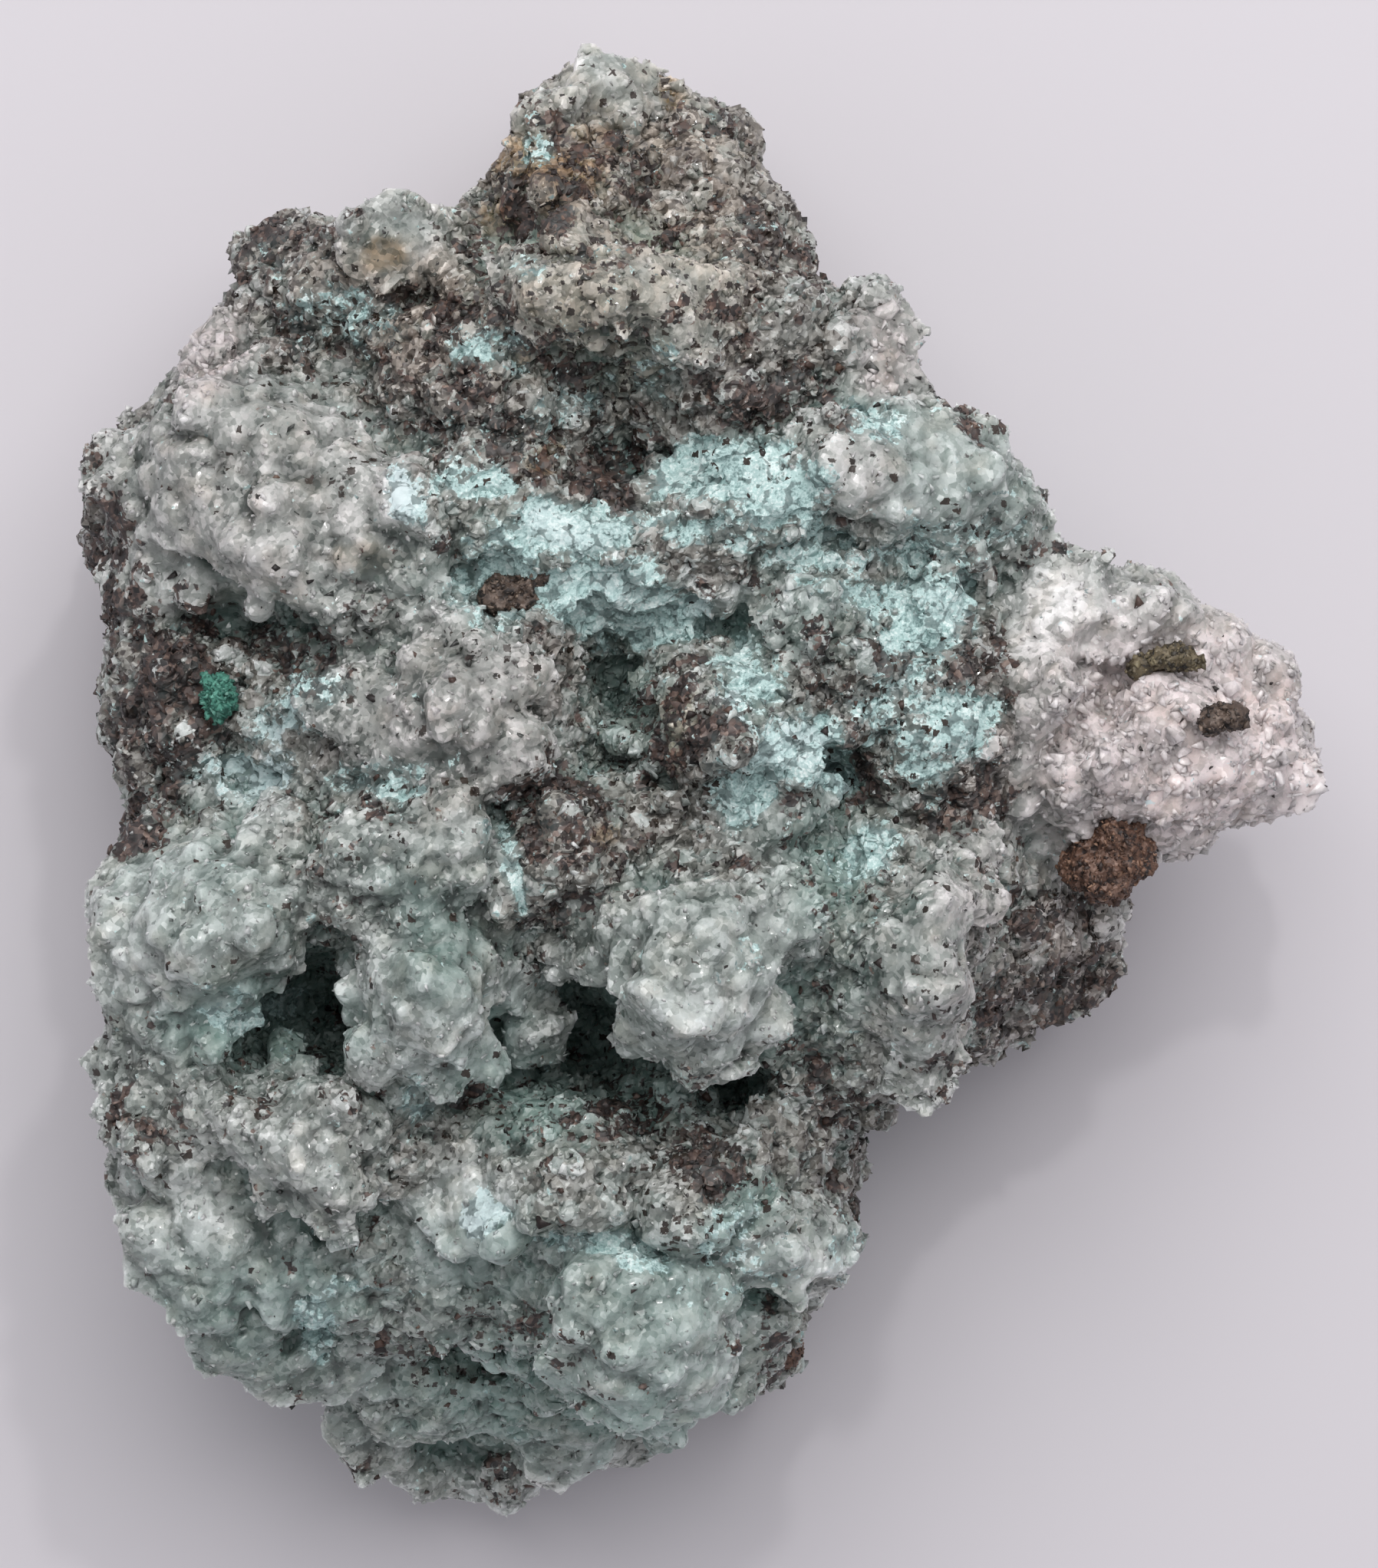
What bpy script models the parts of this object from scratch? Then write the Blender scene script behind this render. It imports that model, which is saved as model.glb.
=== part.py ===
"""Aurichalcite with aragonite: a hand-sized mineral specimen lying on its flat broken back.

The frame is the way a collector looks at it: +X to the right, +Y to the pointed top, +Z up out of the
display face. A porous iron oxide matrix carries masses of grown-together aragonite crystals, flaky
aurichalcite crusts and a few goethite clasts. Lengths in the lists below are millimetres.
"""

import math
import random

import bmesh
import bpy
from mathutils import Euler, Matrix, Vector
from mathutils.bvhtree import BVHTree

MM = 0.001

# Fit and fineness, in millimetres and triangles.
GAP = 0.3
MATRIX_VOXEL = 0.9
CRUST_VOXEL = 0.55
MATRIX_TRIANGLES = 2300
TRIANGLES_PER_LUMP = 20
TRIANGLES_PER_FLAKE = 20
WING_TRIANGLES = 700
CLAST_TRIANGLES = 70
SEEDS = 6
MEND_PASSES = 3
CUTTER_GROWTH = 0.375
UNFOLD_PASSES = 6
UNFOLD_DOT = 0.7
UNFOLD_SHARE = 0.3
LIFT_PLAY = 0.3
STUDS_PER_LUMP = 7
STUD_SIZE = (0.6, 1.1)
BASE_SINK = 1.5

# The broken, bedded look of the matrix: noise kind, feature size and height, drawn out along the bedding.
MATRIX_RELIEF = [("VORONOI", 3.0, -2.4), ("CLOUDS", 2.4, 1.6)]
BEDDING_STRETCH = (2.4, 1.0, 1.4)
BEDDING_TURN = math.radians(-8.0)

# Base colour and roughness of each mineral.
LOOKS = {
    "matrix": ((0.075, 0.055, 0.048), 0.85),
    "aragonite": ((0.46, 0.48, 0.47), 0.35),
    "aurichalcite": ((0.36, 0.56, 0.56), 0.8),
    "goethite": ((0.09, 0.045, 0.03), 0.6),
    "rosasite": ((0.02, 0.11, 0.1), 0.7),
}

# The matrix in plan, at its widest level. The right wing of aragonite reaches out beyond it.
MATRIX_OUTLINE = [
    (-5.6, 41.4), (-3.2, 41.8), (-1.0, 40.0), (1.0, 37.4), (3.4, 35.6), (5.4, 31.6), (7.4, 28.8),
    (9.6, 25.8), (11.6, 22.6), (16.6, 19.0), (19.0, 16.0), (19.6, 12.6), (19.0, 6.0), (19.4, -2.0),
    (24.6, -7.6), (24.4, -11.4), (22.4, -13.6), (17.6, -15.6), (13.8, -17.8), (9.8, -19.4), (8.5, -23.4),
    (8.6, -27.8), (6.0, -30.6), (4.8, -35.0), (1.4, -36.4), (-4.6, -38.0), (-11.5, -40.2), (-18.4, -38.8),
    (-23.0, -36.0), (-28.4, -33.6), (-32.0, -29.6), (-33.8, -26.0), (-34.0, -20.6), (-34.8, -15.4),
    (-34.4, -4.8), (-34.8, 0.0), (-34.2, 6.8), (-36.2, 10.6), (-35.8, 16.0), (-32.0, 21.0), (-30.0, 25.8),
    (-26.4, 29.0), (-25.6, 32.6), (-22.8, 33.4), (-19.0, 32.6), (-15.6, 33.4), (-12.6, 35.2), (-10.8, 38.0),
    (-8.4, 40.4),
]
# Each level of the matrix: low height, high height, and the share of the outline that it fills.
MATRIX_LEVELS = [(-BASE_SINK, 3.0, 0.80), (2.0, 8.0, 0.90), (7.0, 15.0, 0.985), (14.0, 20.0, 0.90)]
OUTLINE_CENTRE = (-8.0, 0.0)

# The swells of the display face: x, y, height of the crest, and radii along x, y and z.
MATRIX_SWELLS = [
    # the pointed top
    (-3.6, 38.0, 27.0, 4.2, 4.0, 14.0), (-1.2, 35.2, 29.5, 4.6, 5.0, 14.0), (-7.5, 34.0, 32.0, 5.4, 6.0, 15.0),
    (0.8, 31.0, 31.0, 4.8, 6.0, 14.0),
    # the upper left shoulder
    (-22.5, 29.2, 26.0, 5.6, 4.8, 12.0), (-16.8, 28.6, 30.0, 6.6, 5.6, 14.0),
    # the rounded rolls below the top
    (-12.0, 24.0, 34.5, 9.0, 6.0, 15.0), (-6.0, 27.6, 37.0, 6.0, 4.0, 12.0), (2.0, 25.0, 35.0, 8.0, 6.5, 15.0),
    (7.0, 23.6, 30.0, 4.8, 5.6, 13.0),
    # the left side under the big crystal mass
    (-26.0, 18.5, 31.0, 7.0, 7.0, 15.0), (-32.6, 17.0, 24.0, 4.0, 4.4, 10.0), (-19.0, 14.5, 33.0, 8.0, 6.6, 15.0),
    # the band of blue crusts across the middle
    (-12.0, 16.0, 35.0, 8.0, 4.6, 14.0), (-5.0, 13.2, 35.5, 8.0, 5.0, 14.0), (4.0, 15.6, 37.0, 8.6, 5.0, 15.0),
    (11.0, 17.0, 34.0, 6.0, 4.6, 13.0), (14.6, 15.0, 29.0, 5.0, 5.6, 13.0),
    # the left block of dark matrix and the recess beside it
    (-31.0, 4.2, 30.0, 4.6, 7.6, 15.0), (-26.6, 5.6, 27.0, 5.0, 6.0, 13.0), (-20.0, 3.0, 34.0, 6.6, 6.6, 15.0),
    # the centre
    (-12.5, 4.5, 37.0, 7.0, 7.4, 16.0), (0.5, 2.0, 41.0, 5.4, 6.6, 17.0), (8.0, 7.0, 35.5, 6.0, 7.0, 15.0),
    (13.0, 4.0, 34.0, 6.6, 8.4, 16.0), (16.0, -1.0, 28.0, 4.6, 8.0, 14.0),
    # the ridge above the pockets
    (-17.0, -4.5, 38.0, 8.0, 5.4, 16.0), (-28.0, -8.0, 33.0, 6.4, 6.4, 15.0), (-8.0, -5.0, 38.0, 7.0, 5.4, 16.0),
    (2.0, -7.4, 38.0, 7.0, 6.0, 16.0), (10.6, -8.2, 36.0, 6.0, 7.0, 15.0),
    # the shaded side below the wing
    (19.6, -9.0, 23.0, 5.4, 5.0, 12.0), (15.6, -12.2, 20.0, 5.6, 4.0, 12.0), (8.4, -15.0, 32.0, 6.4, 5.0, 14.0),
    # the rims of the pockets
    (-30.0, -16.0, 30.0, 4.6, 6.6, 14.0), (-16.0, -13.0, 37.0, 4.4, 5.6, 16.0), (-1.0, -12.6, 38.0, 5.6, 4.6, 16.0),
    (-20.0, -21.6, 32.0, 8.6, 4.6, 15.0),
    # the granular lower face
    (-8.0, -23.0, 36.0, 7.6, 5.4, 16.0), (1.6, -23.0, 34.0, 6.4, 6.0, 15.0), (5.4, -27.0, 29.0, 3.6, 4.0, 13.0),
    (-28.0, -25.0, 27.0, 6.0, 6.4, 13.0), (-20.0, -29.0, 27.0, 7.4, 5.4, 13.0), (-5.0, -30.6, 32.0, 6.0, 5.4, 15.0),
    # the low shelf at the bottom
    (-14.0, -35.6, 13.0, 8.6, 4.4, 10.0), (-6.0, -35.6, 14.0, 7.0, 3.6, 10.0), (2.2, -33.0, 19.0, 3.4, 4.0, 10.0),
]

# The pockets and holes of the matrix: x, y, height of the centre, and radii along x, y and z.
POCKETS = [
    (-22.4, -13.6, 27.0, 5.6, 5.0, 11.0),
    (-25.4, -15.4, 29.0, 4.0, 3.0, 6.0),
    (-7.6, -15.4, 28.0, 6.2, 4.6, 12.0),
    (-4.4, 4.0, 36.0, 2.7, 2.4, 11.0),
    (-2.8, 0.2, 38.0, 1.6, 2.6, 6.0),
    (1.8, -18.0, 29.0, 2.9, 2.9, 10.0),
    (7.2, -3.4, 36.0, 2.6, 3.6, 6.0),
    (-12.6, -35.0, 22.0, 6.0, 3.2, 7.0),
    (-27.4, 9.4, 31.0, 4.6, 2.0, 4.6),
    (8.4, 13.6, 34.0, 3.6, 1.5, 4.0),
    (4.2, 4.6, 38.0, 1.2, 4.6, 4.0),
    (12.4, -12.8, 31.0, 1.6, 4.4, 5.0),
]

# The masses of grown-together aragonite. Each crystal lump is x, y, radius, and how far its middle stands
# above the rock it grew on (negative: sunk in).
ARAGONITE = {
    "aragonite_left_mass": [
        (-34.6, 18.8, 2.7, 0.0), (-32.0, 18.2, 3.2, 0.2), (-30.2, 20.4, 2.7, 0.0), (-27.5, 21.4, 3.2, 0.2),
        (-25.4, 20.0, 3.7, 0.6), (-22.2, 19.2, 3.4, 0.4), (-20.2, 17.6, 3.0, 0.0), (-28.7, 16.8, 3.7, 0.4),
        (-24.4, 15.2, 3.7, 1.4), (-26.2, 12.9, 2.6, 1.6), (-22.8, 12.0, 3.1, 1.4), (-20.0, 9.8, 3.1, 0.2),
        (-17.7, 12.6, 3.0, 0.0), (-31.6, 11.9, 3.4, 0.6), (-29.2, 10.4, 2.6, 1.4), (-33.6, 10.4, 2.4, 0.0),
        (-32.2, 14.6, 3.0, 0.0),
    ],
    "aragonite_left_block": [
        (-33.0, -7.2, 3.9, 0.0), (-29.6, -6.2, 3.6, 0.2), (-25.4, -5.9, 2.9, 1.6), (-32.2, -11.2, 4.3, 0.4),
        (-27.6, -9.2, 3.9, 1.0), (-25.2, -8.8, 2.7, 1.6), (-28.4, -12.4, 3.1, 1.2), (-30.6, -14.0, 2.9, 0.4),
        (-33.8, -16.0, 2.4, 0.0),
    ],
    "aragonite_left_overhang": [
        (-17.4, -11.2, 3.4, 0.6), (-15.3, -13.4, 3.4, 1.0), (-18.3, -14.2, 2.6, 1.0), (-13.4, -15.8, 2.5, 1.0),
        (-16.4, -9.8, 3.0, 0.0), (-11.4, -12.2, 2.5, 1.0), (-12.9, -10.4, 2.5, 0.2), (-14.6, -16.6, 1.8, 0.6),
    ],
    "aragonite_centre_overhang": [
        (-0.2, -9.4, 4.1, 0.8), (-3.9, -9.2, 3.3, 0.8), (-6.2, -9.4, 2.3, 0.6), (1.6, -11.8, 3.3, 1.2),
        (-2.3, -13.8, 2.9, 1.4), (0.8, -14.4, 2.8, 1.2), (-1.2, -11.4, 3.4, 1.8), (3.8, -13.9, 2.3, 0.0),
        (4.4, -7.8, 2.5, 0.0),
    ],
    "aragonite_right_lobes": [
        (14.4, -5.6, 2.4, 1.0), (12.8, -8.2, 2.8, 1.0), (12.0, -10.8, 3.1, 1.0), (11.7, -13.3, 2.7, 1.0),
        (14.8, -14.9, 2.3, 3.0), (12.7, -16.7, 2.5, 3.0), (16.0, -13.4, 2.1, 3.4), (15.8, -4.0, 2.1, 0.6),
        (13.2, -13.6, 2.4, 2.0),
    ],
    "aragonite_lower_left_shells": [
        (-27.2, -19.0, 2.9, 1.0), (-24.9, -18.5, 2.9, 1.0), (-24.9, -21.0, 2.8, 1.4), (-23.4, -23.2, 2.9, 1.4),
        (-21.4, -24.2, 2.6, 1.0), (-21.2, -19.6, 3.2, 0.0), (-32.0, -20.4, 3.7, 0.4), (-30.4, -18.4, 3.2, 0.2),
        (-33.0, -23.4, 2.7, 0.0),
    ],
    "aragonite_lower_left_fringe": [
        (-31.8, -27.2, 3.3, 0.2), (-29.0, -26.5, 3.3, 0.4), (-29.0, -29.4, 3.0, 0.2), (-26.4, -27.2, 2.8, 0.2),
        (-28.2, -32.0, 3.5, 0.0), (-25.0, -33.8, 3.3, -0.4), (-22.0, -34.4, 3.1, -0.6), (-26.0, -36.2, 2.1, -1.0),
        (-29.6, -34.2, 2.2, -0.6), (-23.6, -30.6, 2.6, 0.0),
    ],
    "aragonite_bottom_shelf": [
        (-20.0, -38.8, 2.9, -0.2), (-16.8, -40.8, 3.1, 0.0), (-12.0, -41.0, 3.6, 0.0), (-15.9, -37.6, 3.4, 0.4),
        (-8.6, -39.6, 3.3, 0.4), (-3.6, -39.8, 2.2, 0.0), (-5.8, -39.2, 2.5, 0.2), (-19.2, -36.0, 2.6, 0.0),
        (-11.6, -37.6, 2.8, 0.0),
    ],
    "aragonite_bottom_lobe": [
        (-5.9, -30.2, 3.8, 0.4), (-1.9, -30.2, 3.5, 0.4), (-0.6, -32.6, 3.9, 1.4), (-4.7, -33.2, 4.2, 1.8),
        (-1.8, -35.0, 3.8, 3.0), (-3.2, -37.0, 2.8, 3.0), (0.4, -34.8, 2.9, 2.0), (-7.6, -33.2, 2.5, 1.0),
        (2.2, -32.8, 2.4, 1.0),
    ],
    "aragonite_lower_right_lobe": [
        (4.2, -28.2, 2.7, 0.6), (6.8, -27.0, 2.7, 0.4), (8.0, -29.0, 1.6, 0.0),
    ],
    "aragonite_lower_roll": [
        (-14.9, -27.4, 3.1, 0.2), (-12.8, -25.2, 2.8, 0.2), (-15.6, -31.0, 2.4, 0.0), (-12.8, -31.6, 2.7, 0.4),
        (-10.6, -30.6, 2.2, 0.2), (-16.4, -24.6, 2.4, 0.0),
    ],
    "aragonite_right_shoulder": [
        (13.7, 17.6, 4.2, -0.6), (12.4, 19.6, 2.8, -0.4), (15.4, 19.2, 2.7, 0.0), (17.4, 16.6, 2.6, 0.2),
        (14.8, 14.4, 2.5, 0.0), (18.6, 14.4, 2.1, 0.0), (8.8, 18.2, 3.2, 0.4), (6.6, 19.2, 2.2, 0.0),
    ],
    "aragonite_right_upper_lump": [
        (10.2, 25.0, 2.6, 0.4), (10.6, 23.0, 2.3, 0.2), (9.0, 21.8, 1.8, 0.0),
    ],
    "aragonite_upper_roll": [
        (-8.6, 27.8, 3.2, 0.2), (-6.0, 27.2, 2.8, 0.2), (-10.4, 28.8, 2.3, 0.0), (-1.6, 27.0, 3.5, -0.6),
        (-3.6, 28.8, 2.4, -0.2),
    ],
    "aragonite_top_cap": [
        (-5.8, 39.8, 3.0, 0.0), (-8.6, 38.4, 2.0, 0.0), (-3.2, 40.0, 2.2, 0.0),
    ],
    "aragonite_upper_left_roll": [
        (-18.2, 31.6, 2.9, 0.0), (-15.6, 32.0, 2.2, 0.0), (-23.2, 31.0, 2.3, 0.0),
    ],
    "aragonite_upper_left_lump": [
        (-29.0, 25.4, 2.1, 0.4), (-29.4, 23.8, 1.7, 0.0),
    ],
    "aragonite_centre_mass": [
        (-12.4, 6.0, 3.2, -0.2), (-15.3, 9.2, 2.4, 0.0), (-16.2, 3.8, 3.7, 0.2), (-13.2, 3.6, 2.6, 0.4),
        (-11.6, 1.0, 2.1, 0.4), (-18.6, 2.2, 3.2, 0.0), (-15.6, 0.4, 2.6, 0.2), (-20.6, 5.0, 2.2, 0.0),
    ],
    "aragonite_centre_ridge": [
        (-14.8, -3.0, 3.2, 0.0), (-13.4, -0.9, 2.2, 0.0), (-19.8, -4.0, 2.9, 0.2), (-21.0, -6.6, 2.3, 0.6),
        (-17.2, -4.6, 2.4, -0.2), (-13.8, -5.8, 2.2, 0.0),
    ],
    "aragonite_left_glitter": [
        (-26.0, -2.0, 2.2, 0.2), (-28.4, -1.6, 1.8, 0.0), (-23.8, -1.4, 1.7, 0.0),
    ],
    "aragonite_centre_right": [
        (6.3, 9.4, 2.4, 0.2), (3.9, 10.6, 1.7, 0.0),
    ],
    "aragonite_under_crust": [
        (5.2, -1.4, 2.4, 0.6), (3.2, -2.4, 1.8, 0.0), (-2.8, -2.6, 2.3, 0.2),
    ],
}

# The right wing: its outline in plan, its levels (low, high, share of the outline), and its swells.
WING_OUTLINE = [
    (16.6, 10.4), (20.1, 13.4), (23.3, 13.1), (25.2, 12.7), (26.8, 11.8), (27.3, 10.4), (28.9, 9.6), (32.0, 8.2),
    (33.3, 6.6), (33.8, 5.2), (35.0, 4.3), (36.4, 3.1), (37.0, 1.2), (36.8, -0.4), (35.6, -2.2), (32.7, -3.2),
    (30.8, -2.9), (28.0, -4.5), (25.2, -5.8), (21.4, -6.4), (17.6, -3.0), (16.6, 3.0),
]
WING_LEVELS = [(9.5, 14.0, 0.80), (13.0, 18.0, 0.97), (17.0, 20.5, 0.86)]
WING_CENTRE = (25.0, 3.0)
WING_SWELLS = [
    (21.5, 10.4, 28.0, 4.0, 3.0, 7.0), (25.4, 9.6, 26.5, 3.8, 2.8, 7.0), (29.4, 7.4, 24.0, 3.4, 2.8, 6.0),
    (32.6, 5.0, 22.0, 2.8, 2.5, 5.0), (27.4, 3.2, 28.5, 3.8, 3.4, 8.0), (25.2, 0.2, 29.5, 3.3, 3.3, 8.0),
    (30.4, 0.6, 26.0, 3.4, 2.9, 7.0), (34.0, 0.4, 22.5, 2.8, 2.5, 6.0), (22.4, -2.2, 26.0, 2.8, 2.8, 7.0),
    (19.4, 5.6, 29.0, 2.4, 4.4, 8.0), (18.8, 0.8, 28.0, 2.2, 3.4, 8.0), (28.4, -2.2, 23.5, 2.8, 1.9, 6.0),
]
WING_GROOVES = [(22.3, 4.4, 28.0, 0.8, 3.0, 3.4), (27.6, 6.2, 27.4, 2.6, 0.6, 1.8)]

# The thick, flaky aurichalcite crusts: x, y, and radii along x and y of each overlapping flake.
AURICHALCITE = {
    "aurichalcite_crust_right": [(13.2, 10.0, 2.5, 2.0), (11.4, 9.0, 1.7, 1.4), (14.8, 10.8, 1.5, 1.5)],
    "aurichalcite_crust_face": [(14.6, 4.4, 2.0, 1.6), (14.4, 2.2, 1.8, 1.6), (13.6, 0.2, 1.4, 1.1)],
    "aurichalcite_crust_centre": [(4.3, 1.6, 3.0, 1.6), (2.2, 0.0, 1.5, 1.3), (6.6, 1.0, 1.8, 1.3)],
    "aurichalcite_crust_band": [(-7.8, 14.6, 2.5, 1.3), (-5.4, 14.4, 2.1, 1.4), (-9.4, 13.4, 1.6, 1.2)],
    "aurichalcite_crust_middle": [(-6.6, 10.6, 2.6, 1.4), (-4.2, 10.0, 1.7, 1.2)],
    "aurichalcite_crust_left": [(-17.2, 16.7, 1.7, 1.3), (-15.8, 15.6, 1.3, 0.9)],
    "aurichalcite_crust_upper": [(-0.6, 18.2, 2.4, 1.4), (2.4, 18.4, 2.6, 1.4), (5.0, 17.6, 1.4, 1.0)],
}
CRUST_THICKNESS = 0.9

# The goethite clasts: x, y, how far the middle stands above what holds it, radii, and turn about z.
GOETHITE = {
    "goethite_nugget": (23.8, -4.2, 0.4, 2.7, 2.1, 2.2, 0.5),
    "goethite_wing_sliver": (27.0, 6.9, 0.2, 2.1, 0.8, 0.8, 0.1),
    "goethite_wing_chip": (30.2, 3.6, 0.0, 1.3, 0.8, 0.8, 0.5),
    "goethite_centre_clast": (-10.6, 10.6, 0.2, 1.7, 1.4, 1.4, 0.2),
    "goethite_low_clast": (4.6, -33.9, 0.6, 1.1, 1.0, 1.2, 0.0),
}

# The small dark blue-green ball in the recess at the left: x, y, how far it stands up, and its radius.
ROSASITE = (-28.4, 4.8, 0.5, 1.5)

def clear_scene():
    for obj in list(bpy.data.objects):
        bpy.data.objects.remove(obj)


def new_collection(name):
    made = bpy.data.collections.new(name)
    bpy.context.scene.collection.children.link(made)
    return made


def principled(name, colour, roughness):
    made = bpy.data.materials.new(name)
    made.use_nodes = True
    made.diffuse_color = (*colour, 1.0)
    shader = made.node_tree.nodes["Principled BSDF"]
    shader.inputs["Base Color"].default_value = (*colour, 1.0)
    shader.inputs["Roughness"].default_value = roughness
    shader.inputs["Metallic"].default_value = 0.0
    return made


def linked(name, mesh, collection):
    obj = bpy.data.objects.new(name, mesh)
    collection.objects.link(obj)
    return obj


def add_ball(bm, x, y, z, rx, ry, rz, detail=2, turn=(0.0, 0.0, 0.0)):
    """Adds an ellipsoid to the mesh. A detail of 1 leaves it blocky."""
    matrix = (
        Matrix.Translation(Vector((x, y, z)) * MM)
        @ Euler(turn).to_matrix().to_4x4()
        @ Matrix.Diagonal((rx * MM, ry * MM, rz * MM, 1.0))
    )
    bmesh.ops.create_icosphere(bm, subdivisions=detail, radius=1.0, matrix=matrix)


def add_slab(bm, outline, low, high, share, centre):
    """Adds a flat slab of the outline, drawn in towards the centre to the share given."""
    curve = bpy.data.curves.new("slab", "CURVE")
    curve.dimensions = "2D"
    curve.fill_mode = "BOTH"
    curve.extrude = (high - low) / 2 * MM
    spline = curve.splines.new("POLY")
    spline.points.add(len(outline) - 1)
    for point, (x, y) in zip(spline.points, outline):
        x = centre[0] + (x - centre[0]) * share
        y = centre[1] + (y - centre[1]) * share
        point.co = (x * MM, y * MM, 0.0, 1.0)
    spline.use_cyclic_u = True
    obj = linked("slab", curve, bpy.context.scene.collection)
    bpy.context.view_layer.update()
    mesh = bpy.data.meshes.new_from_object(obj.evaluated_get(bpy.context.evaluated_depsgraph_get()))
    mesh.transform(Matrix.Translation((0.0, 0.0, (low + high) / 2 * MM)))
    bpy.data.objects.remove(obj)
    slab = bmesh.new()
    slab.from_mesh(mesh)
    bmesh.ops.remove_doubles(slab, verts=slab.verts, dist=0.001 * MM)
    slab.to_mesh(mesh)
    slab.free()
    bm.from_mesh(mesh)
    bpy.data.meshes.remove(mesh)


def noise_texture(kind, scale):
    made = bpy.data.textures.new(f"{kind.lower()} {scale} mm", kind)
    made.noise_scale = scale * MM
    return made


def add_relief(obj, kind, scale, height, bedding=None):
    """Raises the surface by a noise of the given feature size, by half the height each way.

    With a bedding empty, the noise is drawn out along that empty's longer axes, into ledges.
    """
    relief = obj.modifiers.new("relief", "DISPLACE")
    relief.texture = noise_texture(kind, scale)
    relief.texture_coords = "OBJECT" if bedding else "LOCAL"
    relief.texture_coords_object = bedding
    relief.mid_level = 0.5
    relief.strength = height * MM


def triangle_count(mesh):
    mesh.calc_loop_triangles()
    return len(mesh.loop_triangles)


def applied(obj):
    """Replaces the object's mesh with what its modifiers make of it."""
    bpy.context.view_layer.update()
    mesh = bpy.data.meshes.new_from_object(obj.evaluated_get(bpy.context.evaluated_depsgraph_get()))
    obj.modifiers.clear()
    old, obj.data = obj.data, mesh
    bpy.data.meshes.remove(old)


def fuse(obj, voxel, smooths=2):
    """Makes one closed skin of the overlapping shapes in the object's mesh."""
    remesh = obj.modifiers.new("fuse", "REMESH")
    remesh.mode = "VOXEL"
    remesh.voxel_size = voxel * MM
    smooth = obj.modifiers.new("smooth", "SMOOTH")
    smooth.factor = 0.5
    smooth.iterations = smooths
    applied(obj)


def facet(obj, triangles):
    """Collapses the skin to flat facets, with the triangle count given."""
    decimate = obj.modifiers.new("facet", "DECIMATE")
    decimate.ratio = min(1.0, triangles / triangle_count(obj.data))
    applied(obj)


def islands(bm):
    """The connected pieces of a mesh, each as a list of faces, the largest first."""
    left = set(bm.faces)
    found = []
    while left:
        start = left.pop()
        island, edge = [start], [start]
        while edge:
            face = edge.pop()
            for neighbour in {f for e in face.edges for f in e.link_faces} & left:
                left.remove(neighbour)
                island.append(neighbour)
                edge.append(neighbour)
        found.append(island)
    return sorted(found, key=len, reverse=True)


def keep_largest(obj):
    bm = bmesh.new()
    bm.from_mesh(obj.data)
    crumbs = [face for island in islands(bm)[1:] for face in island]
    bmesh.ops.delete(bm, geom=crumbs, context="FACES")
    bmesh.ops.dissolve_degenerate(bm, edges=bm.edges, dist=0.01 * MM)
    bmesh.ops.triangulate(bm, faces=bm.faces)
    bm.to_mesh(obj.data)
    bm.free()


def is_closed(obj):
    """Whether the skin is one closed surface, with two faces at every edge."""
    bm = bmesh.new()
    bm.from_mesh(obj.data)
    closed = len(bm.faces) > 0 and all(edge.is_manifold for edge in bm.edges)
    closed = closed and all(vert.is_manifold for vert in bm.verts)
    bm.free()
    return closed


def mend(obj):
    """Closes the slits that a cut leaves where the cutter folds over itself."""
    bm = bmesh.new()
    bm.from_mesh(obj.data)
    for _ in range(MEND_PASSES):
        crowded = [edge for edge in bm.edges if len(edge.link_faces) > 2]
        bmesh.ops.collapse(bm, edges=crowded)
        bmesh.ops.dissolve_degenerate(bm, edges=bm.edges, dist=0.02 * MM)
        loose = [vert for vert in bm.verts if not vert.link_faces]
        bmesh.ops.delete(bm, geom=loose, context="VERTS")
        bmesh.ops.holes_fill(bm, edges=[edge for edge in bm.edges if edge.is_boundary], sides=0)
        bmesh.ops.triangulate(bm, faces=bm.faces)
    bmesh.ops.recalc_face_normals(bm, faces=bm.faces)
    bm.to_mesh(obj.data)
    bm.free()


def carve(obj, cutter):
    """Cuts the cutter out of the object, minding its own crossing faces only if the plain cut stays open."""
    whole = obj.data.copy()
    for crossing in (False, True):
        obj.data = whole.copy()
        boolean = obj.modifiers.new("carve", "BOOLEAN")
        boolean.operation = "DIFFERENCE"
        boolean.solver = "EXACT"
        boolean.use_self = crossing
        boolean.object = cutter
        applied(obj)
        if is_closed(obj):
            return
    mend(obj)


def grown_copy(obj, collection):
    """A cutter that is the object, grown by the gap, and less in a corner too tight for it."""
    cutter = linked(f"{obj.name}_cutter", obj.data.copy(), collection)
    cutter.hide_render = True
    cutter.display_type = "WIRE"
    before = [face.normal.copy() for face in cutter.data.polygons]
    grow = cutter.modifiers.new("grow", "DISPLACE")
    grow.mid_level = 0.0
    grow.strength = CUTTER_GROWTH * MM
    applied(cutter)
    for _ in range(UNFOLD_PASSES):
        folded = [face for face, was in zip(cutter.data.polygons, before) if face.normal.dot(was) < UNFOLD_DOT]
        for corner in {index for face in folded for index in face.vertices}:
            vert = cutter.data.vertices[corner]
            vert.co = vert.co.lerp(obj.data.vertices[corner].co, UNFOLD_SHARE)
        cutter.data.update()
    return cutter


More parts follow.
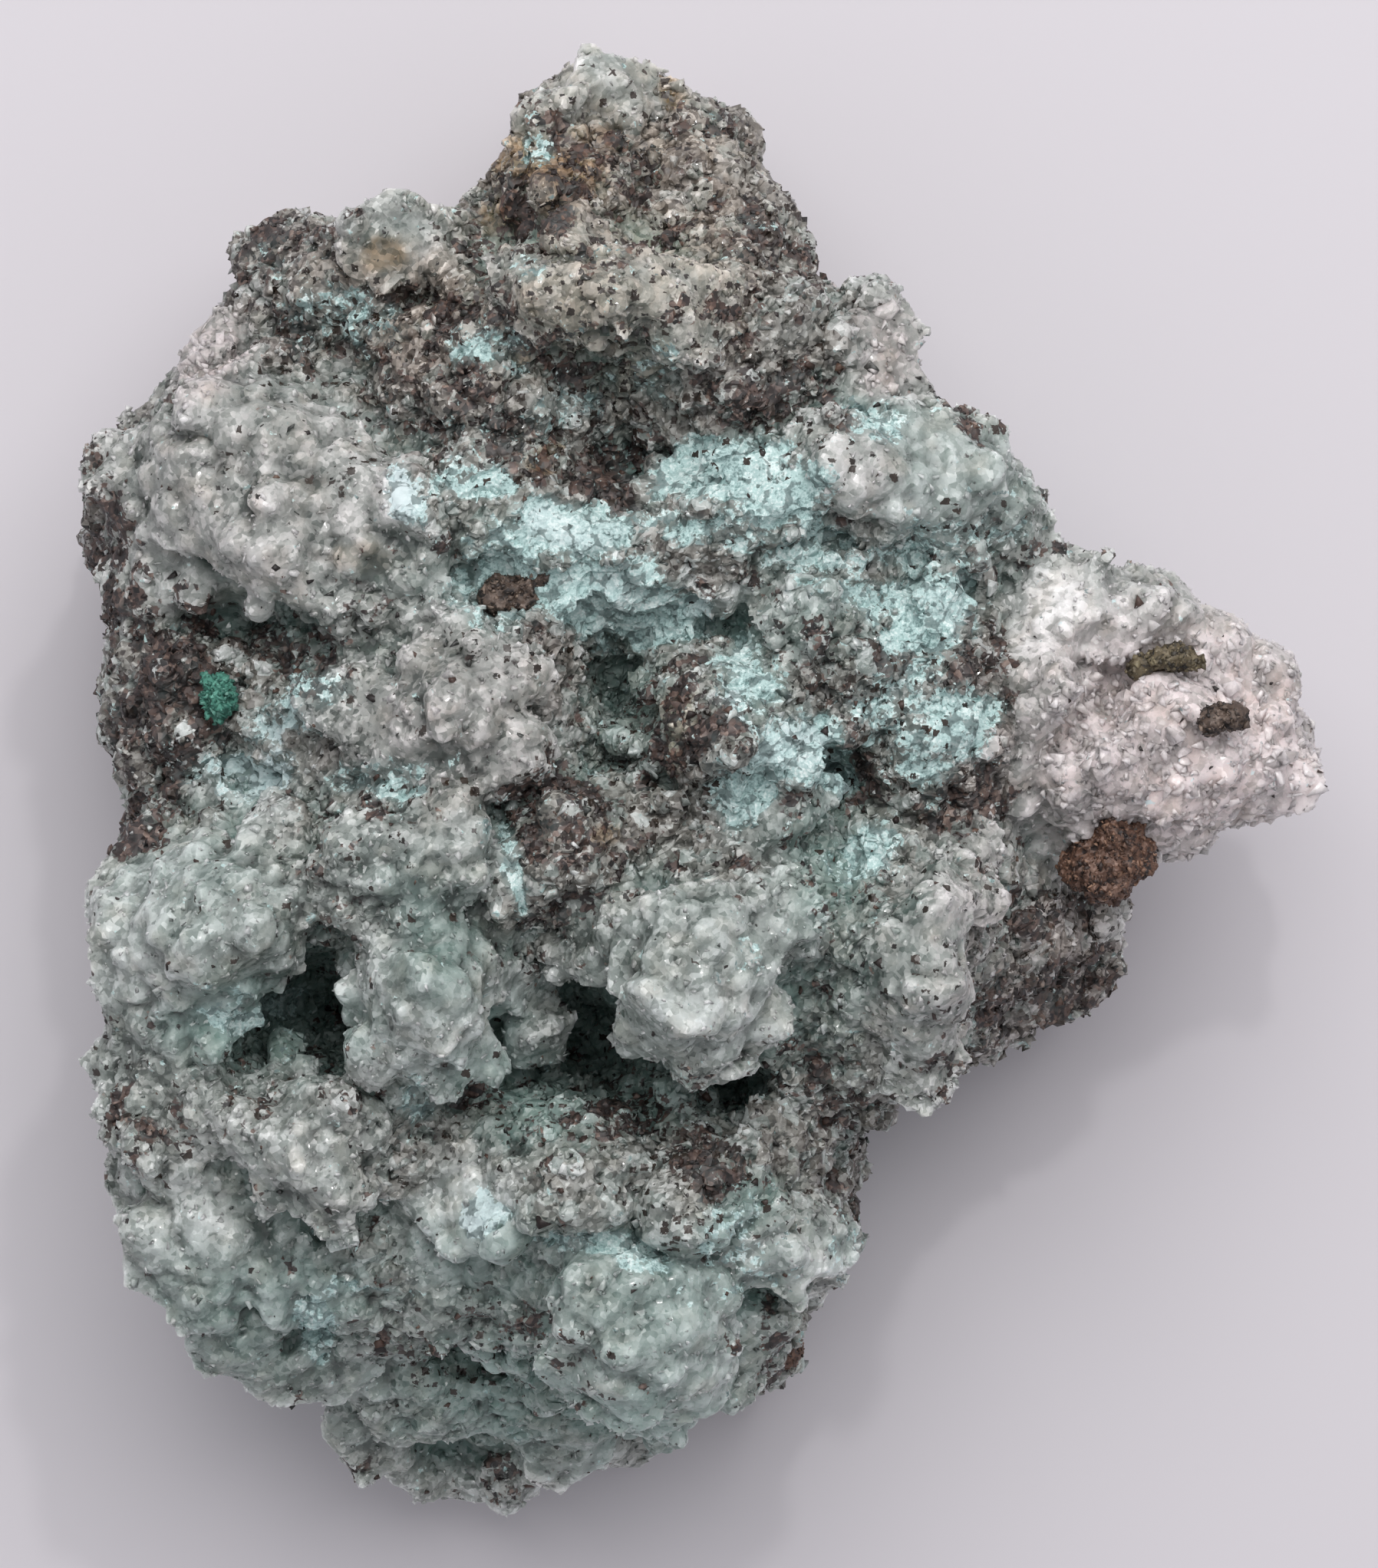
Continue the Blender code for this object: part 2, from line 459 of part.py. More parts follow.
def cut_flat(obj, height):
    """Cuts the object off flat at the height given, and closes the cut."""
    bm = bmesh.new()
    bm.from_mesh(obj.data)
    cut = bmesh.ops.bisect_plane(
        bm,
        geom=bm.verts[:] + bm.edges[:] + bm.faces[:],
        dist=0.0001 * MM,
        plane_co=(0.0, 0.0, height * MM),
        plane_no=(0.0, 0.0, 1.0),
        clear_inner=True,
    )
    rim = [item for item in cut["geom_cut"] if isinstance(item, bmesh.types.BMEdge)]
    bmesh.ops.holes_fill(bm, edges=rim, sides=0)
    bmesh.ops.triangulate(bm, faces=bm.faces)
    bmesh.ops.recalc_face_normals(bm, faces=bm.faces)
    bm.to_mesh(obj.data)
    bm.free()


def tree_of(obj):
    bm = bmesh.new()
    bm.from_mesh(obj.data)
    tree = BVHTree.FromBMesh(bm)
    bm.free()
    return tree


def height_at(tree, x, y):
    """The height of the surface at x, y, in millimetres."""
    hit, _, _, _ = tree.ray_cast(Vector((x * MM, y * MM, 0.1)), Vector((0.0, 0.0, -1.0)))
    return hit.z / MM if hit else 0.0


def build_matrix_form(collection, cutters):
    """The matrix before its pockets are cut: slabs and swells in one rough, bedded skin."""
    bm = bmesh.new()
    for low, high, share in MATRIX_LEVELS:
        add_slab(bm, MATRIX_OUTLINE, low, high, share, OUTLINE_CENTRE)
    for x, y, crest, rx, ry, rz in MATRIX_SWELLS:
        add_ball(bm, x, y, crest - rz, rx, ry, rz)
    matrix = mesh_object("matrix", bm, collection)
    fuse(matrix, MATRIX_VOXEL)
    bedding = bpy.data.objects.new("bedding", None)
    bedding.scale = BEDDING_STRETCH
    bedding.rotation_euler = (0.0, 0.0, BEDDING_TURN)
    cutters.objects.link(bedding)
    for kind, scale, height in MATRIX_RELIEF:
        add_relief(matrix, kind, scale, height, bedding)
    fuse(matrix, MATRIX_VOXEL, 1)
    return matrix


def finish_matrix(matrix, cutters):
    """Gives the matrix its pockets, its facets and its flat base."""
    bm = bmesh.new()
    for x, y, z, rx, ry, rz in POCKETS:
        add_ball(bm, x, y, z, rx, ry, rz)
    pockets = mesh_object("pockets", bm, cutters)
    fuse(pockets, MATRIX_VOXEL, 1)
    pockets.hide_render = True
    pockets.display_type = "WIRE"
    carve(matrix, pockets)
    facet(matrix, MATRIX_TRIANGLES)
    cut_flat(matrix, 0.0)
    keep_largest(matrix)
    if not is_closed(matrix):
        mend(matrix)


def add_lumps(bm, lumps, tree, rng):
    """Adds blocky crystal lumps, each seated on the rock under it."""
    for x, y, radius, lift in lumps:
        middle = seat(tree, x, y, radius) + lift + rng.uniform(-LIFT_PLAY, LIFT_PLAY)
        turn = [rng.uniform(0.0, math.tau) for _ in range(3)]
        radii = [radius * rng.uniform(0.92, 1.08) for _ in range(3)]
        add_ball(bm, x, y, middle, *radii, detail=1, turn=turn)
        add_studs(bm, x, y, middle, radius, rng)


def add_studs(bm, x, y, z, radius, rng):
    """Small blocky crystals that stand out of a lump, over the half of it that is seen."""
    for _ in range(STUDS_PER_LUMP):
        angle = rng.uniform(0.0, math.tau)
        rise = rng.uniform(0.1, 1.0)
        spread = math.sqrt(1.0 - rise * rise)
        reach = radius * 0.86
        size = rng.uniform(*STUD_SIZE)
        turn = [rng.uniform(0.0, math.tau) for _ in range(3)]
        add_ball(
            bm,
            x + reach * spread * math.cos(angle),
            y + reach * spread * math.sin(angle),
            z + reach * rise,
            size,
            size,
            size * 1.3,
            detail=1,
            turn=turn,
        )


def seat(tree, x, y, radius):
    """The height of the rock under a lump: the mean of the higher heights under its footprint."""
    reach = radius * 0.7
    spots = [(0, 0), (reach, 0), (-reach, 0), (0, reach), (0, -reach)]
    heights = sorted(height_at(tree, x + dx, y + dy) for dx, dy in spots)
    return sum(heights[2:]) / len(heights[2:])


def mesh_object(name, bm, collection):
    mesh = bpy.data.meshes.new(name)
    bm.to_mesh(mesh)
    bm.free()
    return linked(name, mesh, collection)


def boxes_meet(a, b):
    margin = 2 * GAP * MM
    for axis in range(3):
        low_a, high_a = (pick(v.co[axis] for v in a.data.vertices) for pick in (min, max))
        low_b, high_b = (pick(v.co[axis] for v in b.data.vertices) for pick in (min, max))
        if low_a > high_b + margin or low_b > high_a + margin:
            return False
    return True


def fit_to(obj, neighbours, cutters):
    """Cuts the object back from each finished neighbour, leaving the gap, and drops the crumbs."""
    for neighbour in neighbours:
        if boxes_meet(obj, neighbour):
            cutter = bpy.data.objects.get(f"{neighbour.name}_cutter") or grown_copy(neighbour, cutters)
            carve(obj, cutter)
    keep_largest(obj)


def place(build, triangles, done, cutters):
    """Builds a piece and fits it to its finished neighbours, again from the next seed until it is closed."""
    for seed in range(SEEDS):
        obj = build(seed)
        facet(obj, triangles)
        fit_to(obj, done, cutters)
        if is_closed(obj):
            done.append(obj)
            return
        bpy.data.objects.remove(obj)
    raise ValueError("a piece didn't close")


def build_wing(seed, collection, cutters):
    """The right wing, a thick plate of crystal that reaches out from the matrix."""
    rng = random.Random(f"wing {seed}")
    bm = bmesh.new()
    for low, high, share in WING_LEVELS:
        add_slab(bm, WING_OUTLINE, low, high, share, WING_CENTRE)
    for x, y, crest, rx, ry, rz in WING_SWELLS:
        add_ball(bm, x, y, crest - rz, rx, ry, rz)
        add_studs(bm, x, y, crest - rx, rx, rng)
    wing = mesh_object("aragonite_wing", bm, collection)
    add_relief(wing, "VORONOI", 3.0, -1.2)
    fuse(wing, CRUST_VOXEL, 1)
    for x, y, z, rx, ry, rz in WING_GROOVES:
        groove = bmesh.new()
        add_ball(groove, x, y, z, rx, ry, rz)
        cutter = mesh_object("groove", groove, cutters)
        cutter.hide_render = True
        cutter.display_type = "WIRE"
        carve(wing, cutter)
    return wing


def build_mass(name, lumps, tree, seed, collection):
    bm = bmesh.new()
    add_lumps(bm, lumps, tree, random.Random(f"{name} {seed}"))
    mass = mesh_object(name, bm, collection)
    fuse(mass, CRUST_VOXEL, 1)
    return mass


def build_crust(name, flakes, tree, seed, collection):
    """A flaky crust: flat, overlapping scales that lie on the rock."""
    rng = random.Random(f"{name} {seed}")
    bm = bmesh.new()
    for x, y, rx, ry in flakes:
        turn = (rng.uniform(-0.15, 0.15), rng.uniform(-0.15, 0.15), rng.uniform(-0.4, 0.4))
        add_ball(bm, x, y, seat(tree, x, y, rx), rx, ry, CRUST_THICKNESS, turn=turn)
    crust = mesh_object(name, bm, collection)
    fuse(crust, CRUST_VOXEL / 2, 1)
    return crust


def build_clast(name, sizes, tree, seed, collection):
    """A broken lump of goethite, with flat, angular sides."""
    x, y, lift, rx, ry, rz, turn = sizes
    turn += seed / SEEDS
    bm = bmesh.new()
    add_ball(bm, x, y, seat(tree, x, y, rx) + lift, rx, ry, rz, turn=(0.0, 0.0, turn))
    clast = mesh_object(name, bm, collection)
    add_relief(clast, "VORONOI", 1.6, 0.8)
    applied(clast)
    return clast


def tree_of_all(objects):
    """One search tree over the finished solids, for whatever sits on top of them."""
    bm = bmesh.new()
    for obj in objects:
        bm.from_mesh(obj.data)
    tree = BVHTree.FromBMesh(bm)
    bm.free()
    return tree


def build_tuft(sizes, tree, seed, collection):
    x, y, lift, radius = sizes
    bm = bmesh.new()
    turn = (0.0, 0.0, seed / SEEDS)
    add_ball(bm, x, y, seat(tree, x, y, radius) + lift, radius, radius, radius, turn=turn)
    return mesh_object("rosasite_tuft", bm, collection)


def main():
    clear_scene()
    specimen = new_collection("aurichalcite with aragonite")
    cutters = new_collection("cutters")
    matrix = build_matrix_form(specimen, cutters)
    rock = tree_of(matrix)
    finish_matrix(matrix, cutters)
    done = [matrix]
    wing_form = build_wing(0, cutters, cutters)
    wing_form.name = "wing_form"
    wing_form.hide_render = True
    wing_form.display_type = "WIRE"
    surface = tree_of_all([wing_form, matrix])
    for name, sizes in GOETHITE.items():
        place(lambda seed: build_clast(name, sizes, surface, seed, specimen), CLAST_TRIANGLES, done, cutters)
    place(lambda seed: build_wing(seed, specimen, cutters), WING_TRIANGLES, done, cutters)
    for name, lumps in ARAGONITE.items():
        count = TRIANGLES_PER_LUMP * len(lumps)
        place(lambda seed: build_mass(name, lumps, rock, seed, specimen), count, done, cutters)
    surface = tree_of_all(done)
    for name, flakes in AURICHALCITE.items():
        count = TRIANGLES_PER_FLAKE * len(flakes)
        place(lambda seed: build_crust(name, flakes, surface, seed, specimen), count, done, cutters)
    place(lambda seed: build_tuft(ROSASITE, surface, seed, specimen), CLAST_TRIANGLES, done, cutters)
    looks = {name: principled(name, *look) for name, look in LOOKS.items()}
    for obj in done:
        obj.data.materials.clear()
        obj.data.materials.append(looks[obj.name.split("_")[0]])


main()
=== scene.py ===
"""Dresses the aurichalcite and aragonite specimen: crystal skins, crusts, grains, light and camera."""

import itertools
import math
import random
from types import SimpleNamespace

import bmesh
import bpy
import numpy as np
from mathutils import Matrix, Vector
from mathutils.kdtree import KDTree


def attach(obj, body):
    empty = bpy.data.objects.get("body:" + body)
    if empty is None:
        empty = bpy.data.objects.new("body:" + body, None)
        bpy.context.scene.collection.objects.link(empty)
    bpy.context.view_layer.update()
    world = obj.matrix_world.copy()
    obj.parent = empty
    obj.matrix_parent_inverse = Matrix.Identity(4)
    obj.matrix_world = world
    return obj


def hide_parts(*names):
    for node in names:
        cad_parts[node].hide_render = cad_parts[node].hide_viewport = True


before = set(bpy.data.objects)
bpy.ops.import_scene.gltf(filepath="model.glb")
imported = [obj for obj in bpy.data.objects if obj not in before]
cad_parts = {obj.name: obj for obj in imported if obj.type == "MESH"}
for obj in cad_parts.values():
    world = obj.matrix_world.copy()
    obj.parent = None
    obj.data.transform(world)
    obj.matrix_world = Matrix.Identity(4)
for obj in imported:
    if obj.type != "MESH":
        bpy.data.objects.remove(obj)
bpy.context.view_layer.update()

MM = 0.001


# Noise, all of it computed from the place in millimetres.

WORD = 0xFFFFFFFF
CORNERS = list(itertools.product((0, 1), repeat=3))
FINER = 1.9
CELL_SHAKE = 0.7


def hashed(cell, seed):
    """A repeatable value from 0 to 1 for each whole-number cell."""
    c = cell.astype(np.int64).astype(np.uint32)
    h = c[:, 0] * np.uint32(0x8DA6B343) ^ c[:, 1] * np.uint32(0xD8163841) ^ c[:, 2] * np.uint32(0xCB1AB31F)
    h ^= np.uint32((seed * 0x9E3779B1) & WORD)
    for shift, factor in ((15, 0x85EBCA6B), (13, 0xC2B2AE35), (16, 0x27D4EB2F)):
        h ^= h >> np.uint32(shift)
        h *= np.uint32(factor)
    h ^= h >> np.uint32(15)
    return h.astype(np.float64) / WORD


def value_noise(p, size, seed):
    """Smooth noise from -1 to 1."""
    q = p / size
    base = np.floor(q)
    f = q - base
    f = f * f * f * (f * (f * 6 - 15) + 10)
    total = np.zeros(len(p))
    for dx, dy, dz in CORNERS:
        weight = (f[:, 0] if dx else 1 - f[:, 0]) * (f[:, 1] if dy else 1 - f[:, 1])
        weight = weight * (f[:, 2] if dz else 1 - f[:, 2])
        total += weight * hashed(base + (dx, dy, dz), seed)
    return total * 2 - 1


def fbm(p, size, seed, octaves=4):
    """Noise from -1 to 1 with finer noise in it, each octave half as strong as the one before."""
    total = np.zeros(len(p))
    share, reach = 1, 0
    for octave in range(octaves):
        total += share * value_noise(p, size / FINER**octave, seed + octave * 17)
        reach += share
        share *= 0.5
    return total / reach


def turns(count, seed):
    """Random rotations."""
    return np.linalg.qr(np.random.default_rng(seed).normal(size=(count, 3, 3)))[0]


TURNS = turns(256, 5)


def cells(p, size, seed, kind, stretch=(1, 1, 1)):
    """Crystals in the cells of a shaken grid, flat-sided "block" or round "dome": height and value."""
    q = p / (size * np.array(stretch))
    corner = np.floor(q - 0.5)
    best = np.full(len(p), -1.0)
    pick = np.zeros(len(p))
    for offset in CORNERS:
        cell = corner + offset
        reach = 0.55 + 0.4 * hashed(cell, seed + 3)
        centre = np.stack([hashed(cell, seed + axis) for axis in range(3)], axis=1)
        d = q - cell - 0.5 - (centre - 0.5) * CELL_SHAKE
        if kind == "block":
            turn = TURNS[(hashed(cell, seed + 4) * (len(TURNS) - 0.1)).astype(int)]
            d = np.abs(np.einsum("nij,nj->ni", turn, d))
            d[:, 2] *= 0.62
            height = reach - d.max(axis=1) * 1.15
        else:
            height = reach - np.sqrt((d * d).sum(axis=1))
        better = height > best
        best[better] = height[better]
        pick[better] = hashed(cell[better], seed + 5)
    return best, pick


def unit(x):
    """The values, held between 0 and 1."""
    return np.clip(x, 0, 1)


def step(low, high, x):
    """0 below low and 1 above high, smooth between; low may be the larger."""
    t = unit((x - low) / (high - low))
    return t * t * (3 - 2 * t)


# Where each mineral shows, seen from above: x, y, radii along x and y, strength, turn in degrees if any.

# Blue crusts and powder.
BLUE = [
    (13.4, 10.2, 2.7, 2.3, 1, 40), (11.6, 8.6, 2, 1.3, 0.9, 10), (14.8, 12, 1.6, 1.2, 0.8),
    (14.7, 3.6, 2.2, 2.4, 0.85, 30), (13.2, 1.6, 1.4, 1.4, 0.7), (4.6, 1.4, 3.6, 1.7, 1, 15),
    (2, -0.6, 1.6, 1.7, 0.9), (7.4, 0.2, 1.9, 1.3, 0.9), (2.4, 6, 1.5, 2.6, 0.8, 20),
    (-7.4, 14.6, 3.2, 1.5, 1, -5), (-11, 13, 2, 1.6, 0.7), (-5.8, 10.5, 3.6, 2, 1), (-2, 9.6, 2.8, 1.6, 0.9),
    (0.6, 18, 4.4, 1.7, 0.95, 5), (4.4, 16.6, 2.6, 1.8, 0.8), (0.4, 14.6, 3.4, 1.1, 0.7),
    (-17.2, 16.4, 1.7, 1.3, 1, -30), (-12.2, 16.9, 1.3, 0.9, 1), (-26.7, 0.3, 3, 1.4, 0.65),
    (-24.6, 3.2, 2, 1.4, 0.55), (-22.4, 5.6, 2, 1.2, 0.4), (-17.6, -0.7, 2, 0.6, 0.85),
    (-18.4, 0.6, 3.6, 1, 0.5), (-12.9, -25.4, 1.7, 1.3, 0.85, 20), (-5, -27.2, 5, 0.9, 0.7, -5),
    (-22.7, -32, 1.3, 2.1, 0.8, 10), (-20.6, -29.8, 2.4, 0.9, 0.6), (9.4, -4.4, 2.2, 1.1, 0.7, 20),
    (-12, 11.2, 4, 2.4, 0.5), (6.6, 13.2, 3.4, 2, 0.5), (12.2, 13.8, 3, 1.4, 0.5), (-22, 27.2, 2.4, 2, 0.45),
    (-9.6, 36.4, 1, 0.8, 0.45), (-10, 29.4, 1.4, 0.8, 0.5), (-2.4, 24, 1.4, 1.6, 0.35),
    (10.2, 20.4, 2.4, 1.6, 0.55), (15.8, 15, 3, 2.6, 0.35), (-26.6, -13.4, 2.8, 1, 0.8, -8),
    (-11.4, -4.6, 0.8, 3.4, 0.6, 15), (8.6, -27.4, 2.6, 2.2, 0.4), (1.6, -26, 2, 2.6, 0.5),
    (1.6, -28.4, 4.6, 2, 0.4), (2.6, -10.6, 1, 2, 0.35), (-12.4, 24.8, 2.4, 1.3, 0.42, -10),
    (-14, 17.6, 1.8, 1.2, 0.45, 20), (-8.2, 21.8, 2.2, 1, 0.4), (-20.6, 27, 2.6, 1.8, 0.5, -20),
    (-17, -18.4, 1, 1.6, 0.6), (11, 4.8, 3, 3, 0.45), (9.2, 10.6, 1.8, 1.4, 0.5),
]
# Bare brown stone.
BROWN = [
    (-31.6, 4, 3.2, 5.6, 1), (-34.6, 13, 2, 5, 1), (-30.6, 9.4, 3, 1.6, 0.5), (-32, -2, 2.4, 2.4, 1),
    (-9.4, 20, 8, 4.4, 0.62, 5), (-3.4, 20.2, 3.6, 2.4, 0.7), (-13.4, 21.6, 4.4, 2.2, 0.9, -8),
    (-6.2, 17.2, 2.2, 2.8, 0.9), (-15.6, 21.4, 5.6, 3.4, 0.62, -10), (-9.2, 10.8, 2.2, 1.2, 0.9),
    (0.4, 4.6, 2.6, 2.8, 0.95), (-2, 2.4, 2, 1.8, 0.8), (-9.4, -1.6, 3.2, 2.8, 0.9),
    (-6.4, -4.4, 2.4, 1.4, 0.8), (-19.6, -1.6, 2.6, 1, 0.7), (-24.6, 6.6, 3.6, 1.8, 0.75),
    (10.6, 4.6, 3.6, 3.8, 0.85), (16.4, 5.6, 1.8, 3.4, 0.85), (12.2, 6.4, 4, 1.4, 0.8),
    (9.6, 1, 1.6, 3.4, 0.8), (15.6, -0.6, 2.6, 1.6, 0.7), (20.2, -7.4, 3, 1.8, 0.75),
    (22, -11, 2.6, 2.2, 0.6), (17.8, -12.6, 3.4, 2, 0.55, 30), (13.8, -16.8, 3.6, 1, 0.6, 25),
    (-7, 36.6, 3.2, 1.6, 0.8), (-9.6, 33.2, 2.6, 2.4, 0.85), (-2.6, 33.4, 3.2, 4, 0.65),
    (-1, 38.4, 1.8, 1.6, 0.8), (4.4, 30.4, 1.4, 4.4, 0.9, 30), (3, 22.4, 4, 2.2, 0.65),
    (-12, 26, 4.4, 2, 0.8, -12), (-22, 25.6, 4.8, 2.4, 0.65, -20), (-25.6, 31, 2.6, 1.6, 0.8),
    (-16.6, 26.8, 2.6, 2.2, 0.8), (-12.4, 30.4, 1.6, 1.6, 0.7), (1.4, 26.6, 3.4, 2.6, 0.5),
    (8, 22, 1.6, 2.4, 0.55), (15.8, 20, 1.8, 1.4, 0.4), (15, 13, 1.8, 0.8, 0.7), (18.2, 13, 1.4, 1.6, 0.5),
    (0.4, -22.6, 2.4, 1.8, 0.8), (-5.4, -20, 3.8, 1.3, 0.6), (-10, -20.6, 1.8, 1.2, 0.5),
    (7, -24.6, 2, 1, 0.6), (-14.8, -19.4, 1.8, 1.4, 0.6), (-24.4, -29, 1.2, 1, 0.5),
    (-33.4, -20.4, 1.2, 2.4, 0.5), (-17.2, -33.6, 3.6, 1, 0.6), (-10.2, -31.6, 2.2, 1.2, 0.5),
    (4.4, -33.2, 1.6, 2.6, 0.6), (6.4, -18.4, 3.4, 2.4, 0.4), (14.4, -2.4, 2, 1, 0.6),
]
# Blue-green tint in the hollows.
GREEN = [
    (-25.4, -14.2, 5, 2.4, 1), (-10.4, -18.6, 4.4, 2.4, 0.9, -15), (-3.2, -18.6, 3, 2, 0.9, -25),
    (7.4, -5.4, 2.8, 3.4, 0.8, 20), (-12.4, -35.6, 6, 3.2, 0.8), (-26, -30.6, 5, 3.4, 0.5),
    (-15.8, -9, 2.4, 3.6, 0.5, 20), (-29.6, -5, 4, 3.4, 0.25), (-12, -28, 5, 3, 0.55),
    (-21.6, -30, 4, 2.6, 0.6), (13.4, 18, 5.6, 3.4, 0.2), (2.8, 5.4, 2, 2.4, 0.6),
    (-4.6, 4.2, 3.2, 2.6, 0.7), (-2.4, -31.4, 5.4, 5, 0.45), (-13, 12.6, 5, 3.4, 0.3),
    (6.2, 9.6, 3, 2.2, 0.4), (12.6, -8, 2.6, 5, 0.35), (-4, -37, 6, 2.6, 0.7), (2.2, -24.6, 2.4, 2, 0.7),
    (8, -12, 1.6, 5, 0.5),
]
# Rusty stain.
ORANGE = [
    (-2.6, 40.2, 0.9, 0.7, 1), (-9.4, 35.6, 1.6, 1, 0.7), (-12, 32.6, 1.5, 1.2, 0.9),
    (-8.4, 32.8, 1.2, 1, 0.6), (-10.8, 24.6, 0.7, 0.7, 0.9), (-8, 27, 3, 1.2, 0.4),
    (2.8, 0.4, 1.2, 0.6, 0.8), (-6.2, -3.8, 0.8, 0.6, 0.7), (-2.4, 24.8, 0.6, 0.5, 0.6),
    (-9.4, 18.4, 0.8, 0.7, 0.9), (-1.6, 3.2, 1.2, 2, 0.5), (-19.6, 12.6, 1.6, 1, 0.3), (-5, 32, 9, 9, 0.35),
    (-7.6, 28.2, 3.8, 2.3, 0.45), (-17, 27, 7, 4, 0.3, -15), (-9, 35.4, 3.4, 1.5, 1, -20),
    (-6, 37.2, 1.8, 1.3, 0.7), (-18.4, 30.2, 1.6, 1.1, 0.8),
]
# Crystal with no stone between.
CLEAN = [
    (-26, 15.4, 8.6, 5.6, 0.9), (-24.6, 21.6, 4.4, 3, 0.9), (-29.4, 25, 2.2, 2, 1),
    (27.6, 3.4, 9.6, 7.6, 1, -20), (20.4, 1, 2.8, 7.4, 0.9), (24.5, -8, 1.3, 1, 1),
    (-29.4, -8.8, 5.6, 6, 0.8), (-15.2, -12.8, 4.6, 4.2, 0.9), (-0.6, -11, 5.4, 4.4, 0.9),
    (-29, -29, 6.4, 6, 0.7), (-14, -39.4, 8, 3.4, 0.7), (-2.6, -34, 5, 4.6, 0.8), (12.6, -12, 3, 4.6, 0.6),
    (9.6, 17.6, 2.4, 3.2, 0.8), (14.4, 18, 4.6, 2.6, 0.8), (10.4, 24.4, 2, 2.6, 0.8),
    (-6, 41, 3.2, 2.6, 0.6), (-23.6, -22, 3, 3.4, 0.7), (-14.6, 4.6, 5.4, 4, 0.5), (-16, -4, 4.6, 3, 0.5),
    (-13.6, -24.4, 4.4, 4.2, 0.85), (2, -28, 7.6, 3, 0.8), (-5.6, -29.6, 5, 3.6, 0.7),
    (-17.4, 30.6, 2.6, 2, 0.8), (-0.9, 28, 2.4, 3.6, 0.3, 15), (2.4, 35.6, 1.8, 1.8, 0.6),
    (-4.6, 31.8, 2.6, 1.2, 0.6), (4.6, 26.6, 2.2, 2.2, 0.5), (-18, -37, 6.4, 4, 0.8),
    (-22.4, -30.6, 4.4, 3.4, 0.6), (-4.6, -24, 3, 2.6, 0.6), (-10.6, 22.6, 3.2, 1.2, 0.35, -8),
    (-2, 22, 3.4, 1.6, 0.4),
]
# Crystal of a warm tone, angular where it is strong.
WARM = [
    (-25.4, 16.6, 10, 7.6, 0.5), (28, 2, 12, 9, 1), (8.6, 18, 2.4, 3, 0.5), (0, 27, 9, 8, 0.1),
    (-14, 4, 7, 6, 0.6), (14, -8, 3, 3, 0.6), (-29, 25, 3, 3, 1), (0, 38, 12, 8, 0.2),
    (-24, -22, 6, 5, 0.15), (18, -10, 8, 7, 0.6), (-20, 27, 9, 7, 0.3), (10.4, 24.6, 2.4, 3, 0.9),
]
# Milky white crystal.
MILK = [
    (28.6, 2.4, 10.6, 7.8, 1.1, -20), (20.6, 8, 3.6, 5, 0.9, 20), (20.2, 0.6, 2.8, 7.4, 0.7),
    (18.4, -4.4, 2.4, 4, 0.6), (8.4, 18, 2, 2.6, 0.5), (-0.9, 28, 2.6, 3.8, 0.2, 15),
    (-31, -9.4, 4, 4.4, 0.5), (0.6, -13.6, 3.4, 1.8, 0.6), (-24.4, -22.4, 4.6, 2.2, 0.15, -35),
    (13.9, -7.2, 1.8, 1.4, 0.8), (-0.8, -33.4, 3.8, 3.8, 0.6), (6.6, -28.4, 2.6, 1.6, 1),
    (-13.8, -24.6, 3, 2.8, 0.7), (24.5, -8, 1.3, 1.1, 0.9), (-29, 25, 2, 2.4, 0.5), (-28, 14, 5, 3.6, 0.2),
    (-15.8, -15.2, 3.8, 2.2, 0.4, 20), (0.8, 11.7, 1.8, 1.8, 0.7), (1.2, 4.2, 0.7, 0.6, 1),
    (-6.6, 41, 2.4, 1.4, 0.1), (10.4, 24.6, 1.6, 2.4, 0.3), (13.4, 17.6, 3.4, 3, 0.5),
    (-20.4, -12.6, 2.4, 4, 0.5, 10), (-11, -13, 1.6, 2.4, 0.6), (-8, 28.6, 4, 2, 0.1),
    (5, -28, 3.4, 1.8, 0.7), (-30, -24, 3, 4, 0.3), (-14.4, -28, 3, 2.4, 0.4), (-17.2, 16.4, 2, 1.6, 1),
    (-26, 1.6, 4, 3.4, 0.8), (-7.4, 14.6, 3, 1.4, 0.6), (-5.4, 10, 3, 1.8, 0.5), (4.6, 1.4, 3.4, 1.6, 0.6),
    (-24.6, 11, 3, 2, 0.5), (5.6, 9.8, 2.4, 1.8, 0.5),
]
